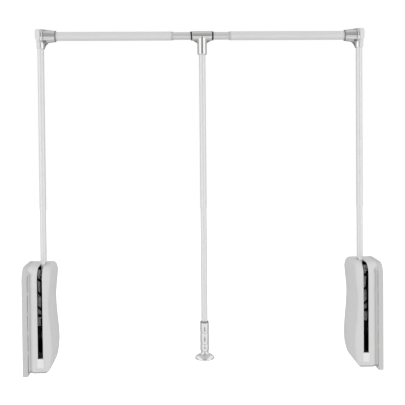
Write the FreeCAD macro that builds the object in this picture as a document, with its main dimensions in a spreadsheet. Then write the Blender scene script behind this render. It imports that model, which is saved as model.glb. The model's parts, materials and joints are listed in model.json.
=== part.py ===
import FreeCAD, Part
import Sketcher
import math
import os
import re

"""Pull down closet rod: two spring-assisted arms that carry a telescopic rail with a pull handle.

Millimetres. +X runs from the left wardrobe side to the right one, +Y into the wardrobe, +Z up.
The origin is the centre of the left housing's four screw holes, on the wardrobe's side; the arms
and the rail lie in the plane Y = 0. Pieces named left_ are built, and mirrored to right_.
"""

# Driving sizes ---------------------------------------------------------------------------------
SIZES = [
    ("width", 876, "wardrobe side to wardrobe side"),
    ("rod_height", 694, "rail's axis above the screw pattern's centre"),
    ("arm_inset", 43, "arm's axis to the wardrobe's side"),
    ("arm_swing", 118, "degrees from upright to pulled down"),
    ("front", 63, "housing's face in front of the arm"),
    ("back", 65, "housing's back behind the arm"),
    ("plate_drop", 130, "wall plate's foot below the pattern's centre"),
    ("housing_rise", 132.5, "housing's top above the pattern's centre"),
    ("foot_gap", 8, "cover's foot above the wall plate's foot"),
    ("plate_thick", 13, "wall plate's rim, out from the wardrobe's side"),
    ("plate_base", 3.5, "wall plate's floor"),
    ("rim_wall", 3, "wall plate's rim"),
    ("seam", 1.6, "groove between wall plate and cover"),
    ("top_round", 30, "radius of the housing's upper front edge"),
    ("crest_round", 20, "radius of the housing's upper back edge"),
    ("back_round", 30, "radius of the housing's lower back edge"),
    ("cover_wall", 2.8, "cover's wall"),
    ("skirt_wall", 1.5, "cover's skirt, inside the rim"),
    ("skirt_depth", 5.5, "how far the skirt goes into the rim"),
    ("foot_reach", 63.3, "cover's inner side from the wall, at the foot"),
    ("ankle_reach", 67, "the same, at the ankle"),
    ("ankle_drop", 104, "ankle below the pattern's centre"),
    ("belly_reach", 70.3, "the same, at the belly"),
    ("belly_drop", 62, "belly below the pattern's centre"),
    ("waist_reach", 63.4, "cover's inner side from the wall, at the waist"),
    ("waist_rise", 40, "waist above the pattern's centre"),
    ("shoulder_reach", 68.6, "cover's inner side from the wall, at the shoulder"),
    ("shoulder_drop", 24.5, "shoulder below the housing's top"),
    ("top_reach", 68.1, "cover's inner side from the wall, at the top"),
    ("crown_round", 11, "rounding between the cover's top and its inner side"),
    ("slot_width", 12.6, "slot for the lever"),
    ("slot_tail", 15, "slot's end on the top, behind the arm"),
    ("clip_pitch", 47, "cover clips, one to the next"),
    ("clip_first", 71, "lowest cover clip below the pattern's centre"),
    ("clip_height", 6, "cover clip"),
    ("clip_inset", 0.4, "cover clips behind the housing's face"),
    ("bumper_width", 17.5, "bumper"),
    ("bumper_height", 24, "bumper"),
    ("bumper_proud", 1.2, "bumper in front of the cover's face"),
    ("bumper_lip", 2, "bumper's lip behind the cover's wall"),
    ("screw_y", 68, "wall screws, front to back"),
    ("screw_z", 176, "wall screws, low to high"),
    ("screw_hole", 5.5, "wall screw hole's diameter"),
    ("standoff", 14, "diameter of the plate's standoffs"),
    ("frame_wall", 2, "steel frame's sheet"),
    ("frame_back", 55, "frame's back web behind the arm"),
    ("frame_front", 46, "frame's side plates in front of the arm"),
    ("frame_foot_gap", 26, "frame's foot above the wall plate's foot"),
    ("frame_head_gap", 14.5, "frame's top below the housing's top"),
    ("frame_room", 15, "frame's inner face beyond the arm's axis"),
    ("frame_bolt_y", 30, "frame screws in front of and behind the arm"),
    ("frame_bolt_z", 26, "frame screws above the pattern's centre"),
    ("frame_bolt", 4, "frame screw's diameter"),
    ("pivot_drop", 43, "pivot below the pattern's centre"),
    ("axle", 10, "axle's diameter"),
    ("axle_head", 16, "diameter of the axle's head"),
    ("clip_thick", 1.2, "axle clip"),
    ("clip_groove", 1.4, "axle's groove for its clip"),
    ("bush_wall", 1.45, "pivot bush's wall"),
    ("lever_thick", 8, "lever's steel"),
    ("lever_deep", 16, "lever's width, front to back"),
    ("lever_hub", 30, "diameter of the lever's hub"),
    ("spigot_long", 38, "lever's spigot inside the arm tube"),
    ("sweep_gap", 1.5, "arm tube's foot past the housing's edge as it swings"),
    ("arm_tube", 16, "arm tube's diameter"),
    ("arm_wall", 1.4, "arm tube's wall"),
    ("cam_base", 40, "diameter of the cam's round part"),
    ("cam_hub", 24, "diameter of the cam's hub"),
    ("cam_thick", 8, "cam plate"),
    ("cam_lift", 30, "plunger's travel over the whole swing"),
    ("cam_overrun", 9, "degrees of cam past the end of the swing"),
    ("nose", 7, "radius of the plunger's nose, with its gap"),
    ("sleeve", 10, "diameter of the plunger's sleeve"),
    ("sleeve_long", 49, "plunger's sleeve"),
    ("guide", 7, "guide rod's diameter"),
    ("guide_engaged", 18, "guide rod inside the sleeve at rest"),
    ("anchor_drop", 20.5, "anchor pin below the housing's top"),
    ("anchor", 6, "anchor pin's diameter"),
    ("spring_outer", 15, "lift spring's diameter"),
    ("spring_wire", 2.3, "lift spring's flat wire, through its thickness"),
    ("wire_height", 5, "lift spring's flat wire, along the spring"),
    ("spring_turns", 2, "lift spring's open turns"),
    ("stop_pin", 7, "diameter of the pin that stops the lever at rest"),
    ("stop_drop", 40.5, "stop pin below the housing's top"),
    ("rod_gap", 1.3, "rail tube's end to the arm tube"),
    ("outer_rod", 22, "outer rail tube's diameter"),
    ("outer_wall", 1, "outer rail tube's wall"),
    ("inner_rod", 19, "inner rail tube's diameter"),
    ("inner_wall", 1.2, "inner rail tube's wall"),
    ("inner_show", 37, "inner tube seen between a rail bush and the tee's ring nearest to it"),
    ("rod_overlap", 202, "inner tube inside each outer tube"),
    ("collar", 6.5, "rail bush's tapered collar"),
    ("collar_lip", 0.9, "rail bush's collar at its nose, over the inner tube"),
    ("bush_long", 14, "rail bush inside the outer tube"),
    ("corner_flange", 36, "diameter of the corner fitting's flange"),
    ("corner_lip", 5, "corner fitting's flange along the rail"),
    ("corner_root", 35, "rail socket's diameter at the flange"),
    ("corner_mouth", 27, "rail socket's diameter at its mouth"),
    ("corner_reach", 38, "rail socket's mouth from the arm's axis"),
    ("corner_drop", 31, "corner fitting's foot below the rail's axis"),
    ("corner_socket", 19.4, "diameter of the arm tube's socket"),
    ("web_thick", 8, "corner fitting's web"),
    ("web_hollow", 16, "middle of the web's hollow curve, from the arm's axis"),
    ("hollow_drop", 18.6, "middle of the web's hollow curve, below the rail's axis"),
    ("cap_reach", 13.6, "corner cap beyond the arm's axis"),
    ("cap_shoulder", 10.4, "corner cap's upper edge beyond the arm's axis"),
    ("cap_belly", 2.5, "corner cap's fullest place above the rail's axis"),
    ("cap_foot", 9, "corner cap's foot beyond the arm's axis"),
    ("cap_knee", 10.5, "corner cap's slim lower part below the rail's axis"),
    ("grub", 5, "grub screw's diameter"),
    ("tee_shift", 2.6, "tee to the right of the rail's middle"),
    ("tee_long", 48.6, "tee's barrel"),
    ("tee_barrel", 23.6, "diameter of the tee's barrel"),
    ("tee_neck", 23, "diameter of the tee's neck"),
    ("tee_drop", 46, "tee's neck below the rail's axis"),
    ("tee_lip", 2.4, "how far the neck draws in at its foot"),
    ("tee_lip_tall", 6.5, "height over which it draws in"),
    ("tee_web", 10, "tee's webs along the rail"),
    ("tee_socket", 30, "handle tube inside the tee's neck"),
    ("ring_thick", 3.6, "tee ring"),
    ("ring", 22.6, "tee ring's diameter"),
    ("handle_drop", 805.5, "handle's foot below the rail's axis"),
    ("handle_tube", 16, "handle tube's diameter"),
    ("handle_wall", 1.2, "handle tube's wall"),
    ("grip", 22.8, "grip's diameter"),
    ("grip_long", 71.2, "grip"),
    ("grip_groove", 1.6, "groove between the grip's lengths"),
    ("groove_deep", 0.8, "the grip's grooves"),
    ("grip_bulge", 0.5, "how far each length of the grip swells"),
    ("disc", 49, "grip disc's diameter"),
    ("disc_tall", 15.5, "grip disc's flare"),
    ("disc_rim", 2.2, "grip disc's rim"),
    ("disc_dome", 2.8, "how far the flare swells past a straight cone"),
    ("collar_tall", 5, "grip disc's collar"),
    ("collar_dia", 20, "diameter of the grip disc's collar"),
    ("run_gap", 0.05, "radial running clearance"),
    ("seat_gap", 0.02, "radial clearance of pieces that are fixed together"),
    ("free_gap", 0.3, "clearance between pieces that pass each other"),
    ("side_gap", 1, "clearance beside the lever and the springs"),
]

# What follows from the driving sizes ------------------------------------------------------------
PLACES = [
    ("mid_x", "width / 2"),
    ("tee_x", "mid_x + tee_shift"),
    ("cover_x", "plate_thick + seam"),
    ("plate_foot", "-plate_drop"),
    ("cover_foot", "foot_gap - plate_drop"),
    ("pivot_z", "-pivot_drop"),
    ("lever_x", "arm_inset - lever_thick / 2"),
    ("strut_x", "lever_x - side_gap - spring_outer / 2"),
    ("frame_x", "strut_x - spring_outer / 2 - 2 * side_gap"),
    ("frame_end", "arm_inset + frame_room"),
    ("frame_foot", "plate_foot + frame_foot_gap"),
    ("frame_top", "housing_rise - frame_head_gap"),
    ("edge_y", "front - top_round"),
    ("edge_z", "housing_rise + pivot_drop - top_round"),
    ("tube_reach", "sqrt(edge_y * edge_y + edge_z * edge_z) + top_round + sweep_gap"),
    ("tube_foot", "pivot_z + tube_reach"),
    ("landing_gap", "free_gap + bumper_proud * tan(arm_swing - 90)"),
    ("landing_drop", "front * tan(arm_swing - 90) + lever_deep / 2 / cos(arm_swing - 90)"),
    ("slot_foot", "pivot_z - landing_drop - landing_gap"),
    ("bush", "axle + 2 * run_gap + 2 * bush_wall"),
    ("nose_z", "pivot_z + cam_base / 2 + nose"),
    ("seat_z", "nose_z + 2 * nose"),
    ("sleeve_z", "seat_z + spring_wire"),
    ("guide_z", "sleeve_z + sleeve_long - guide_engaged"),
    ("anchor_z", "housing_rise - anchor_drop"),
    ("spring_top", "anchor_z - anchor - spring_wire"),
    ("spring_mean", "(spring_outer - spring_wire) / 2"),
    ("stop_z", "housing_rise - stop_drop"),
    ("stop_y", "lever_deep / 2 + free_gap + stop_pin / 2"),
    ("rod_x", "arm_inset + arm_tube / 2 + rod_gap"),
    ("ring_edge", "mid_x - abs(tee_shift) - tee_long / 2 - free_gap - ring_thick"),
    ("rod_end", "ring_edge - inner_show - collar"),
    ("outer_long", "rod_end - rod_x"),
    ("inner_x", "rod_end - rod_overlap"),
    ("inner_long", "width - 2 * inner_x"),
    ("flange_x", "arm_inset + free_gap"),
    ("flange_end", "flange_x + corner_lip"),
    ("mouth_x", "arm_inset + corner_reach"),
    ("handle_top", "rod_height - tee_drop + tee_socket"),
    ("handle_foot", "rod_height - handle_drop"),
    ("disc_top", "handle_foot + disc_tall + collar_tall"),
]

SIZE_NAMES = {name for name, value, note in SIZES}
PLACE_NAMES = {name for name, formula in PLACES}
X_AXIS = FreeCAD.Vector(1, 0, 0)
Y_AXIS = FreeCAD.Vector(0, 1, 0)
ALONG = {
    "x": FreeCAD.Rotation(Y_AXIS, 90),
    "y": FreeCAD.Rotation(X_AXIS, -90),
    "z": FreeCAD.Rotation(),
}

doc = FreeCAD.newDocument("PullDownClosetRod")
sizes = doc.addObject("Spreadsheet::Sheet", "Sizes")
places = doc.addObject("Spreadsheet::Sheet", "Places")
pieces = []


# Helpers ---------------------------------------------------------------------------------------
def link(text):
    """Turn the names of sizes in a formula into references to their cells."""

    def cell(match):
        word = match.group(0)
        if word in SIZE_NAMES:
            return "Sizes." + word
        if word in PLACE_NAMES:
            return "Places." + word
        return word

    return re.sub(r"[a-z_][a-z_0-9]*", cell, str(text))


def number(text):
    """The value of a formula now, worked out by the sheet."""
    places.set("D1", "=" + link(text))
    places.recompute()
    return float(places.get("D1"))


def point(x, y, z):
    return FreeCAD.Vector(number(x), number(y), number(z))


def bind(thing, formulas):
    for path, text in formulas.items():
        thing.setExpression(path, link(text))
    return thing


def place(thing, at, along="z"):
    thing.Placement = FreeCAD.Placement(FreeCAD.Vector(), ALONG[along])
    return bind(thing, {"Placement.Base." + axis: text for axis, text in zip("xyz", at)})


def box(name, x, y, z):
    """A box from (low, high) pairs of formulas."""
    block = doc.addObject("Part::Box", name)
    lengths = [f"({high}) - ({low})" for low, high in (x, y, z)]
    bind(block, dict(zip(("Length", "Width", "Height"), lengths)))
    return place(block, (x[0], y[0], z[0]))


def cylinder(name, diameter, at, length, along="z"):
    drum = doc.addObject("Part::Cylinder", name)
    bind(drum, {"Radius": f"({diameter}) / 2", "Height": length})
    return place(drum, at, along)


def cone(name, start, end, at, length, along="z"):
    taper = doc.addObject("Part::Cone", name)
    bind(taper, {"Radius1": f"({start}) / 2", "Radius2": f"({end}) / 2", "Height": length})
    return place(taper, at, along)


def cut(name, base, *tools):
    tool = tools[0] if len(tools) == 1 else fuse(name + "_tools", *tools)
    result = doc.addObject("Part::Cut", name)
    result.Base = base
    result.Tool = tool
    return result


def fuse(name, *shapes):
    result = doc.addObject("Part::MultiFuse", name)
    result.Shapes = list(shapes)
    return result


def common(name, *shapes):
    result = doc.addObject("Part::MultiCommon", name)
    result.Shapes = list(shapes)
    return result


def group(name, members):
    result = doc.addObject("Part::Compound", name)
    result.Links = list(members)
    return result


def tube(name, outer, wall, at, length, along="z"):
    skin = cylinder(name + "_outside", outer, at, length, along)
    hole = cylinder(name + "_inside", f"{outer} - 2 * {wall}", at, length, along)
    return cut(name, skin, hole)


def feature(name, shape):
    result = doc.addObject("Part::Feature", name)
    result.Shape = shape
    return result


def rounded(name, block, rounds):
    """Fillet the block's long X edges that pass nearest each (y, z) place."""
    doc.recompute()
    edges = []
    for (y, z), radius in rounds:
        spot = FreeCAD.Vector(block.Shape.CenterOfMass.x, number(y), number(z))
        far = [edge.CenterOfMass.distanceToPoint(spot) for edge in block.Shape.Edges]
        edges.append((far.index(min(far)) + 1, number(radius), number(radius)))
    result = doc.addObject("Part::Fillet", name)
    result.Base = block
    result.Edges = edges
    return result


def turned(name, outline, at, along="z"):
    """A body turned about its own axis, from (radius, height) formulas in order round its section."""
    body = doc.addObject("PartDesign::Body", name)
    sketch = body.newObject("Sketcher::SketchObject", name + "_section")
    plane = next(f for f in body.Origin.OriginFeatures if f.Role == "XZ_Plane")
    sketch.AttachmentSupport = [(plane, "")]
    sketch.MapMode = "FlatFace"
    spots = [FreeCAD.Vector(number(radius), number(height), 0) for radius, height in outline]
    count = len(spots)
    for i in range(count):
        sketch.addGeometry(Part.LineSegment(spots[i], spots[(i + 1) % count]), False)
    for i in range(count):
        sketch.addConstraint(Sketcher.Constraint("Coincident", i, 2, (i + 1) % count, 1))
    for i, (radius, height) in enumerate(outline):
        pin(sketch, i, "DistanceX", -2, radius, spots[i].x)
        pin(sketch, i, "DistanceY", -1, height, spots[i].y)
    turn = body.newObject("PartDesign::Revolution", name + "_turned")
    turn.Profile = sketch
    turn.ReferenceAxis = (sketch, ["V_Axis"])
    turn.Angle = 360
    body.Tip = turn
    return place(body, at, along)


def pin(sketch, line, kind, axis, text, value):
    """Hold a line's start at a distance from the sketch's origin, or on one of its axes."""
    if str(text) == "0":
        sketch.addConstraint(Sketcher.Constraint("PointOnObject", line, 1, axis))
        return
    index = sketch.addConstraint(Sketcher.Constraint(kind, -1, 1, line, 1, value))
    sketch.setExpression(f"Constraints[{index}]", link(text))


def keep(thing, name):
    """This object is a finished piece, with this name."""
    thing.Label = name
    pieces.append(thing)
    return thing


def both_sides(thing, name):
    """A finished piece on the left, and its mirror image on the right."""
    keep(thing, "left_" + name)
    twin = doc.addObject("Part::Mirroring", "right_" + name)
    twin.Source = thing
    twin.Normal = X_AXIS
    bind(twin, {"Base.x": "mid_x"})
    keep(twin, "right_" + name)


def fill_sheets():
    for row, (name, value, note) in enumerate(SIZES, start=1):
        sizes.set(f"A{row}", note)
        sizes.set(f"B{row}", str(value))
        sizes.setAlias(f"B{row}", name)
    for row, (name, formula) in enumerate(PLACES, start=1):
        places.set(f"A{row}", name)
        places.set(f"B{row}", "=" + link(formula))
        places.setAlias(f"B{row}", name)
    doc.recompute()


# Housing ---------------------------------------------------------------------------------------
def housing_block(name, x, foot, inset):
    """The housing's side outline, moved in by inset, between two X planes."""
    low, high = f"{inset} - front", f"back - {inset}"
    bottom, top = f"{foot} + {inset}", f"housing_rise - {inset}"
    block = box(name + "_block", x, (low, high), (bottom, top))
    upper_front = ((low, top), f"top_round - {inset}")
    upper_back = ((high, top), f"crest_round - {inset}")
    lower_back = ((high, bottom), f"back_round - {inset}")
    return rounded(name, block, (upper_front, upper_back, lower_back))


def wave(name, inset, x_from, foot, top):
    """The cover's section seen from the front: straight at the wall plate, waved at the inner side."""
    heights = ("-ankle_drop", "-belly_drop", "waist_rise", "housing_rise - shoulder_drop")
    reaches = ("ankle_reach", "belly_reach", "waist_reach", "shoulder_reach")
    spots = [point(f"foot_reach - {inset}", 0, foot)]
    spots += [point(f"{reach} - {inset}", 0, height) for reach, height in zip(reaches, heights)]
    spots.append(point(f"top_reach - {inset}", 0, f"{top} - crown_round + {inset}"))
    curve = Part.BSplineCurve()
    curve.interpolate(spots)
    turn = number(f"crown_round - {inset}")
    centre = spots[-1] - FreeCAD.Vector(turn, 0, 0)
    bend = centre + FreeCAD.Vector(turn, 0, turn) / math.sqrt(2)
    crest = centre + FreeCAD.Vector(0, 0, turn)
    near_foot = point(x_from, 0, foot)
    near_top = point(x_from, 0, top)
    edges = [
        curve.toShape(),
        Part.Arc(spots[-1], bend, crest).toShape(),
        Part.makeLine(crest, near_top),
        Part.makeLine(near_top, near_foot),
        Part.makeLine(near_foot, spots[0]),
    ]
    face = Part.Face(Part.Wire(edges))
    face.translate(FreeCAD.Vector(0, -number("front"), 0))
    return feature(name, face.extrude(FreeCAD.Vector(0, number("front + back"), 0)))


def wall_plate():
    floor = ("0", "plate_thick")
    outside = housing_block("plate_outside", floor, "plate_foot", "0")
    inside = housing_block("plate_inside", ("plate_base", "plate_thick + 1"), "cover_foot", "rim_wall")
    posts = []
    holes = []
    for y_sign in (-1, 1):
        for z_sign in (-1, 1):
            y = f"{y_sign} * screw_y / 2"
            z = f"{z_sign} * screw_z / 2"
            tag = f"{len(posts)}"
            length = "frame_x - frame_wall - plate_base"
            posts.append(cylinder("standoff" + tag, "standoff", ("plate_base", y, z), length, "x"))
            holes.append(cylinder("wall_hole" + tag, "screw_hole", ("-1", y, z), "frame_x", "x"))
    for index, y in enumerate(("-frame_bolt_y", "frame_bolt_y")):
        spot = ("plate_base", y, "frame_bolt_z")
        length = "frame_x - frame_wall - plate_base"
        posts.append(cylinder(f"frame_post{index}", "3 * frame_bolt", spot, length, "x"))
        start = ("plate_base + frame_bolt", y, "frame_bolt_z")
        holes.append(cylinder(f"pilot{index}", "frame_bolt + 2 * seat_gap", start, "frame_x", "x"))
    tray = cut("plate_tray", outside, inside)
    both_sides(cut("wall_plate", fuse("plate_solid", tray, *posts), *holes), "wall_plate")


def cover():
    foot, top = "cover_foot", "housing_rise"
    shell = housing_block("cover_shell", ("cover_x", "belly_reach + foot_reach"), foot, "0")
    outside = common("cover_outside", shell, wave("cover_wave", "0", "cover_x - 1", foot, top))
    skirt_from = "cover_x - skirt_depth"
    skirt_inset = "(rim_wall + free_gap)"
    skirt = housing_block("skirt_outside", (skirt_from, "cover_x + 1"), foot, skirt_inset)
    throat_inset = "(rim_wall + free_gap + skirt_wall)"
    ledge = "cover_x + cover_wall"
    throat = housing_block("throat", (f"{skirt_from} - 1", ledge), foot, throat_inset)
    room = housing_block("cover_room", (ledge, "belly_reach + foot_reach"), foot, "cover_wall")
    low, high = "cover_foot + cover_wall", "housing_rise - cover_wall"
    hollow = common("cover_hollow", room, wave("room_wave", "cover_wall", "cover_x", low, high))
    slot = box(
        "slot",
        ("arm_inset - slot_width / 2", "arm_inset + slot_width / 2"),
        ("-front - 1", "slot_tail"),
        ("slot_foot", "housing_rise + 1"),
    )
    pocket = box(
        "bumper_pocket",
        ("arm_inset - bumper_width / 2 - seat_gap", "arm_inset + bumper_width / 2 + seat_gap"),
        ("-front - 1", "-front + cover_wall + 1"),
        ("slot_foot - bumper_height - seat_gap", "slot_foot"),
    )
    both_sides(cut("cover", fuse("cover_solid", outside, skirt), throat, hollow, slot, pocket), "cover")


def cover_clips():
    """Lugs that bridge the seam, seated on the skirt, at the front and at the back."""
    span = ("plate_thick", "cover_x")
    outside = housing_block("clip_outside", span, "cover_foot", "clip_inset")
    beyond = ("plate_thick - 1", "cover_x + 1")
    inside = housing_block("clip_inside", beyond, "cover_foot", "(rim_wall + free_gap)")
    slabs = []
    for side, depth in enumerate((("-front", "0"), ("0", "back"))):
        for i in range(side, 5):
            z = f"{i} * clip_pitch - clip_first"
            height = (f"{z} - clip_height / 2", f"{z} + clip_height / 2")
            slabs.append(box(f"clip_{side}_{i}", span, depth, height))
    band = cut("clip_band", outside, inside)
    both_sides(common("cover_clips", band, group("clip_slabs", slabs)), "cover_clips")


def bumper():
    half = "bumper_width / 2"
    foot = "slot_foot - bumper_height"
    body = box(
        "bumper_body",
        (f"arm_inset - {half}", f"arm_inset + {half}"),
        ("-front - bumper_proud", "cover_wall - front + seat_gap"),
        (foot, "slot_foot"),
    )
    lip = box(
        "bumper_lip",
        (f"arm_inset - {half} - bumper_lip", f"arm_inset + {half} + bumper_lip"),
        ("cover_wall - front + seat_gap", "cover_wall - front + bumper_lip"),
        (f"{foot} - bumper_lip", "slot_foot"),
    )
    both_sides(fuse("bumper", body, lip), "bumper")


# Steel frame and what it carries ------------------------------------------------------------------
def frame():
    sides = ("-frame_front", "frame_back + frame_wall")
    tall = ("frame_foot", "frame_top")
    wall_side = box("frame_wall_side", ("frame_x - frame_wall", "frame_x"), sides, tall)
    room_side = box("frame_room_side", ("frame_end", "frame_end + frame_wall"), sides, tall)
    web = box("frame_web", ("frame_x - frame_wall", "frame_end + frame_wall"), ("frame_back", sides[1]), tall)
    holes = [
        cylinder("frame_axle_hole", "axle + 2 * seat_gap", ("0", "0", "pivot_z"), "width / 2", "x"),
        cylinder("frame_stop_hole", "stop_pin + 2 * seat_gap", ("0", "stop_y", "stop_z"), "width / 2", "x"),
        cylinder("frame_anchor_hole", "anchor + 2 * seat_gap", ("0", "0", "anchor_z"), "frame_x + 1", "x"),
    ]
    for index, y in enumerate(("-frame_bolt_y", "frame_bolt_y")):
        spot = ("0", y, "frame_bolt_z")
        holes.append(cylinder(f"frame_bolt_hole{index}", "frame_bolt + 2 * seat_gap", spot, "frame_x + 1", "x"))
    for y_sign in (-1, 1):
        for z_sign in (-1, 1):
            spot = ("0", f"{y_sign} * screw_y / 2", f"{z_sign} * screw_z / 2")
            name = f"frame_wall_hole{len(holes)}"
            holes.append(cylinder(name, "screw_hole", spot, "frame_x + 1", "x"))
    both_sides(cut("frame", fuse("frame_sheet", wall_side, room_side, web), *holes), "frame")


def frame_screws():
    screws = []
    for index, y in enumerate(("-frame_bolt_y", "frame_bolt_y")):
        start = ("plate_base + frame_bolt + 1", y, "frame_bolt_z")
        shank = cylinder(f"frame_shank{index}", "frame_bolt", start, f"frame_x - ({start[0]})", "x")
        head_at = ("frame_x", y, "frame_bolt_z")
        head = cone(f"frame_head{index}", "2 * frame_bolt", "1.4 * frame_bolt", head_at, "frame_bolt / 2", "x")
        screws.append(fuse(f"frame_screw{index}", shank, head))
    both_sides(group("frame_screws", screws), "frame_screws")


def axle():
    """Axle with a head at the wall side and a groove for its clip, and the clip."""
    head = "axle_head / 6"
    groove = "axle / 2 - clip_thick"
    start = "frame_x - frame_wall"
    grip_long = f"(frame_end + frame_wall - ({start}))"
    outline = [
        ("0", "0"),
        ("axle_head / 2", "0"),
        ("axle_head / 2", head),
        ("axle / 2", head),
        ("axle / 2", f"{head} + {grip_long} + free_gap"),
        (groove, f"{head} + {grip_long} + free_gap"),
        (groove, f"{head} + {grip_long} + free_gap + clip_groove"),
        ("axle / 2", f"{head} + {grip_long} + free_gap + clip_groove"),
        ("axle / 2", f"{head} + {grip_long} + free_gap + 2 * clip_groove"),
        ("0", f"{head} + {grip_long} + free_gap + 2 * clip_groove"),
    ]
    both_sides(turned("axle", outline, (f"{start} - {head}", "0", "pivot_z"), "x"), "axle")
    spot = ("frame_end + frame_wall + free_gap + (clip_groove - clip_thick) / 2", "0", "pivot_z")
    outside = cylinder("axle_clip_outside", "1.7 * axle", spot, "clip_thick", "x")
    inside = cylinder("axle_clip_inside", "axle - 2 * clip_thick + 2 * seat_gap", spot, "clip_thick", "x")
    both_sides(cut("axle_clip", outside, inside), "axle_clip")


def stop_pin():
    spot = ("frame_x - frame_wall - free_gap", "stop_y", "stop_z")
    length = "frame_end + 2 * frame_wall - frame_x + 2 * free_gap"
    both_sides(cylinder("stop_pin", "stop_pin", spot, length, "x"), "stop_pin")


def guide_rod():
    """Round rod with an eye on the anchor pin, and the spring's seat under the eye."""
    half = "cam_thick / 2"
    rod = cylinder("guide_shank", "guide", ("strut_x", "0", "guide_z"), "anchor_z - guide_z")
    eye = cylinder("guide_eye", "2 * anchor", (f"strut_x - {half}", "0", "anchor_z"), "cam_thick", "x")
    seat = cylinder("guide_seat", "spring_outer", ("strut_x", "0", "spring_top"), "spring_wire")
    hole = cylinder(
        "guide_eye_hole", "anchor + 2 * seat_gap", (f"strut_x - {half} - 1", "0", "anchor_z"), "cam_thick + 2", "x"
    )
    both_sides(cut("guide_rod", fuse("guide_solid", rod, eye, seat), hole), "guide_rod")
    start = "frame_x - frame_wall - 1"
    length = f"strut_x + {half} + free_gap - ({start})"
    shank = cylinder("anchor_shank", "anchor", (start, "0", "anchor_z"), length, "x")
    head = cylinder("anchor_head", "1.5 * anchor", (f"{start} - 1", "0", "anchor_z"), "2", "x")
    both_sides(fuse("anchor_pin", shank, head), "anchor_pin")


def plunger():
    """Nose on the cam, spring seat, and a sleeve that slides on the guide rod."""
    x = ("strut_x - cam_thick / 2", "strut_x + cam_thick / 2")
    radius = "(nose - free_gap)"
    nose = cylinder("plunger_nose", f"2 * {radius}", (x[0], "0", "nose_z"), "cam_thick", "x")
    block = box("plunger_block", x, (f"-{radius}", radius), ("nose_z", "seat_z"))
    seat = cylinder("plunger_seat", "spring_outer", ("strut_x", "0", "seat_z"), "spring_wire")
    sleeve = cylinder("plunger_sleeve", "sleeve", ("strut_x", "0", "sleeve_z"), "sleeve_long")
    bore = cylinder("plunger_bore", "guide + 2 * run_gap", ("strut_x", "0", "seat_z"), "sleeve_long + nose")
    both_sides(cut("plunger", fuse("plunger_solid", nose, block, seat, sleeve), bore), "plunger")


def spring_line(turn):
    """The wire's centre after so many turns: closed end turns, open ones between them."""
    turns = round(number("spring_turns"))
    closed = number("wire_height + free_gap")
    pitch = (number("spring_top - sleeve_z - wire_height") - 2 * closed) / turns
    radius = number("spring_mean")
    angle = 2 * math.pi * turn
    open_part = min(max(turn - 1, 0), turns)
    rise = pitch * open_part + closed * (turn - open_part)
    return FreeCAD.Vector(radius * math.cos(angle), radius * math.sin(angle), rise)


def lift_spring():
    """Compression spring of flat wire, lofted through eight-sided sections, which keep it light."""
    half_thick = number("spring_wire") / 2
    half_high = number("wire_height") / 2
    steps = 16
    sides = 8
    spread = 1 / math.cos(math.pi / sides)
    last = steps * (round(number("spring_turns")) + 2)
    line = [spring_line(i / steps) for i in range(last + 1)]
    sections = []
    for i, spot in enumerate(line):
        along = (line[min(i + 1, last)] - line[max(i - 1, 0)]).normalize()
        out = FreeCAD.Vector(spot.x, spot.y, 0).normalize()
        up = out.cross(along).normalize()
        ring = []
        for side in range(sides):
            angle = 2 * math.pi * (side + 0.5) / sides
            corner = out * math.cos(angle) * half_thick + up * math.sin(angle) * half_high
            ring.append(spot + corner * spread)
        sections.append(Part.makePolygon(ring + ring[:1]))
    spring = Part.makeLoft(sections, True, True, False)
    spring.translate(point("strut_x", "0", "sleeve_z + wire_height / 2"))
    both_sides(feature("lift_spring", spring), "lift_spring")


# Arm -------------------------------------------------------------------------------------------
def lever():
    centre = ("lever_x", "0", "pivot_z")
    hub = cylinder("lever_boss", "lever_hub", centre, "lever_thick", "x")
    boss_long = "frame_end - arm_inset - lever_thick / 2 - side_gap / 2"
    boss = cylinder("lever_spacer", "cam_hub - 2", ("lever_x + lever_thick", "0", "pivot_z"), boss_long, "x")
    bar = box(
        "lever_bar",
        ("lever_x", "lever_x + lever_thick"),
        ("-lever_deep / 2", "lever_deep / 2"),
        ("pivot_z", "tube_foot"),
    )
    spigot_dia = "arm_tube - 2 * arm_wall - 2 * seat_gap"
    spigot = cylinder("lever_spigot", spigot_dia, ("arm_inset", "0", "tube_foot"), "spigot_long")
    hole = cylinder("lever_hole", "bush + 2 * seat_gap", ("0", "0", "pivot_z"), "width / 2", "x")
    both_sides(cut("lever", fuse("lever_solid", hub, boss, bar, spigot), hole), "lever")


def cam_profile():
    """Snail whose radius grows evenly with the angle, so that the plunger rises evenly."""
    swing = math.radians(number("arm_swing"))
    overrun = math.radians(number("cam_overrun"))
    start = number("cam_base") / 2 + number("nose")
    rate = number("cam_lift") / swing
    steps = 24
    spots = []
    for i in range(steps + 1):
        angle = i * (swing + overrun) / steps
        radius = start + rate * angle
        slope = number("nose") / math.hypot(radius, rate)
        out = radius - slope * radius
        along = slope * rate
        y = out * math.sin(angle) + along * math.cos(angle)
        z = out * math.cos(angle) - along * math.sin(angle)
        spots.append(FreeCAD.Vector(0, y, z))
    curve = Part.BSplineCurve()
    curve.interpolate(spots)
    centre = FreeCAD.Vector()
    edges = [curve.toShape(), Part.makeLine(spots[-1], centre), Part.makeLine(centre, spots[0])]
    return Part.Face(Part.Wire(edges))


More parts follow.
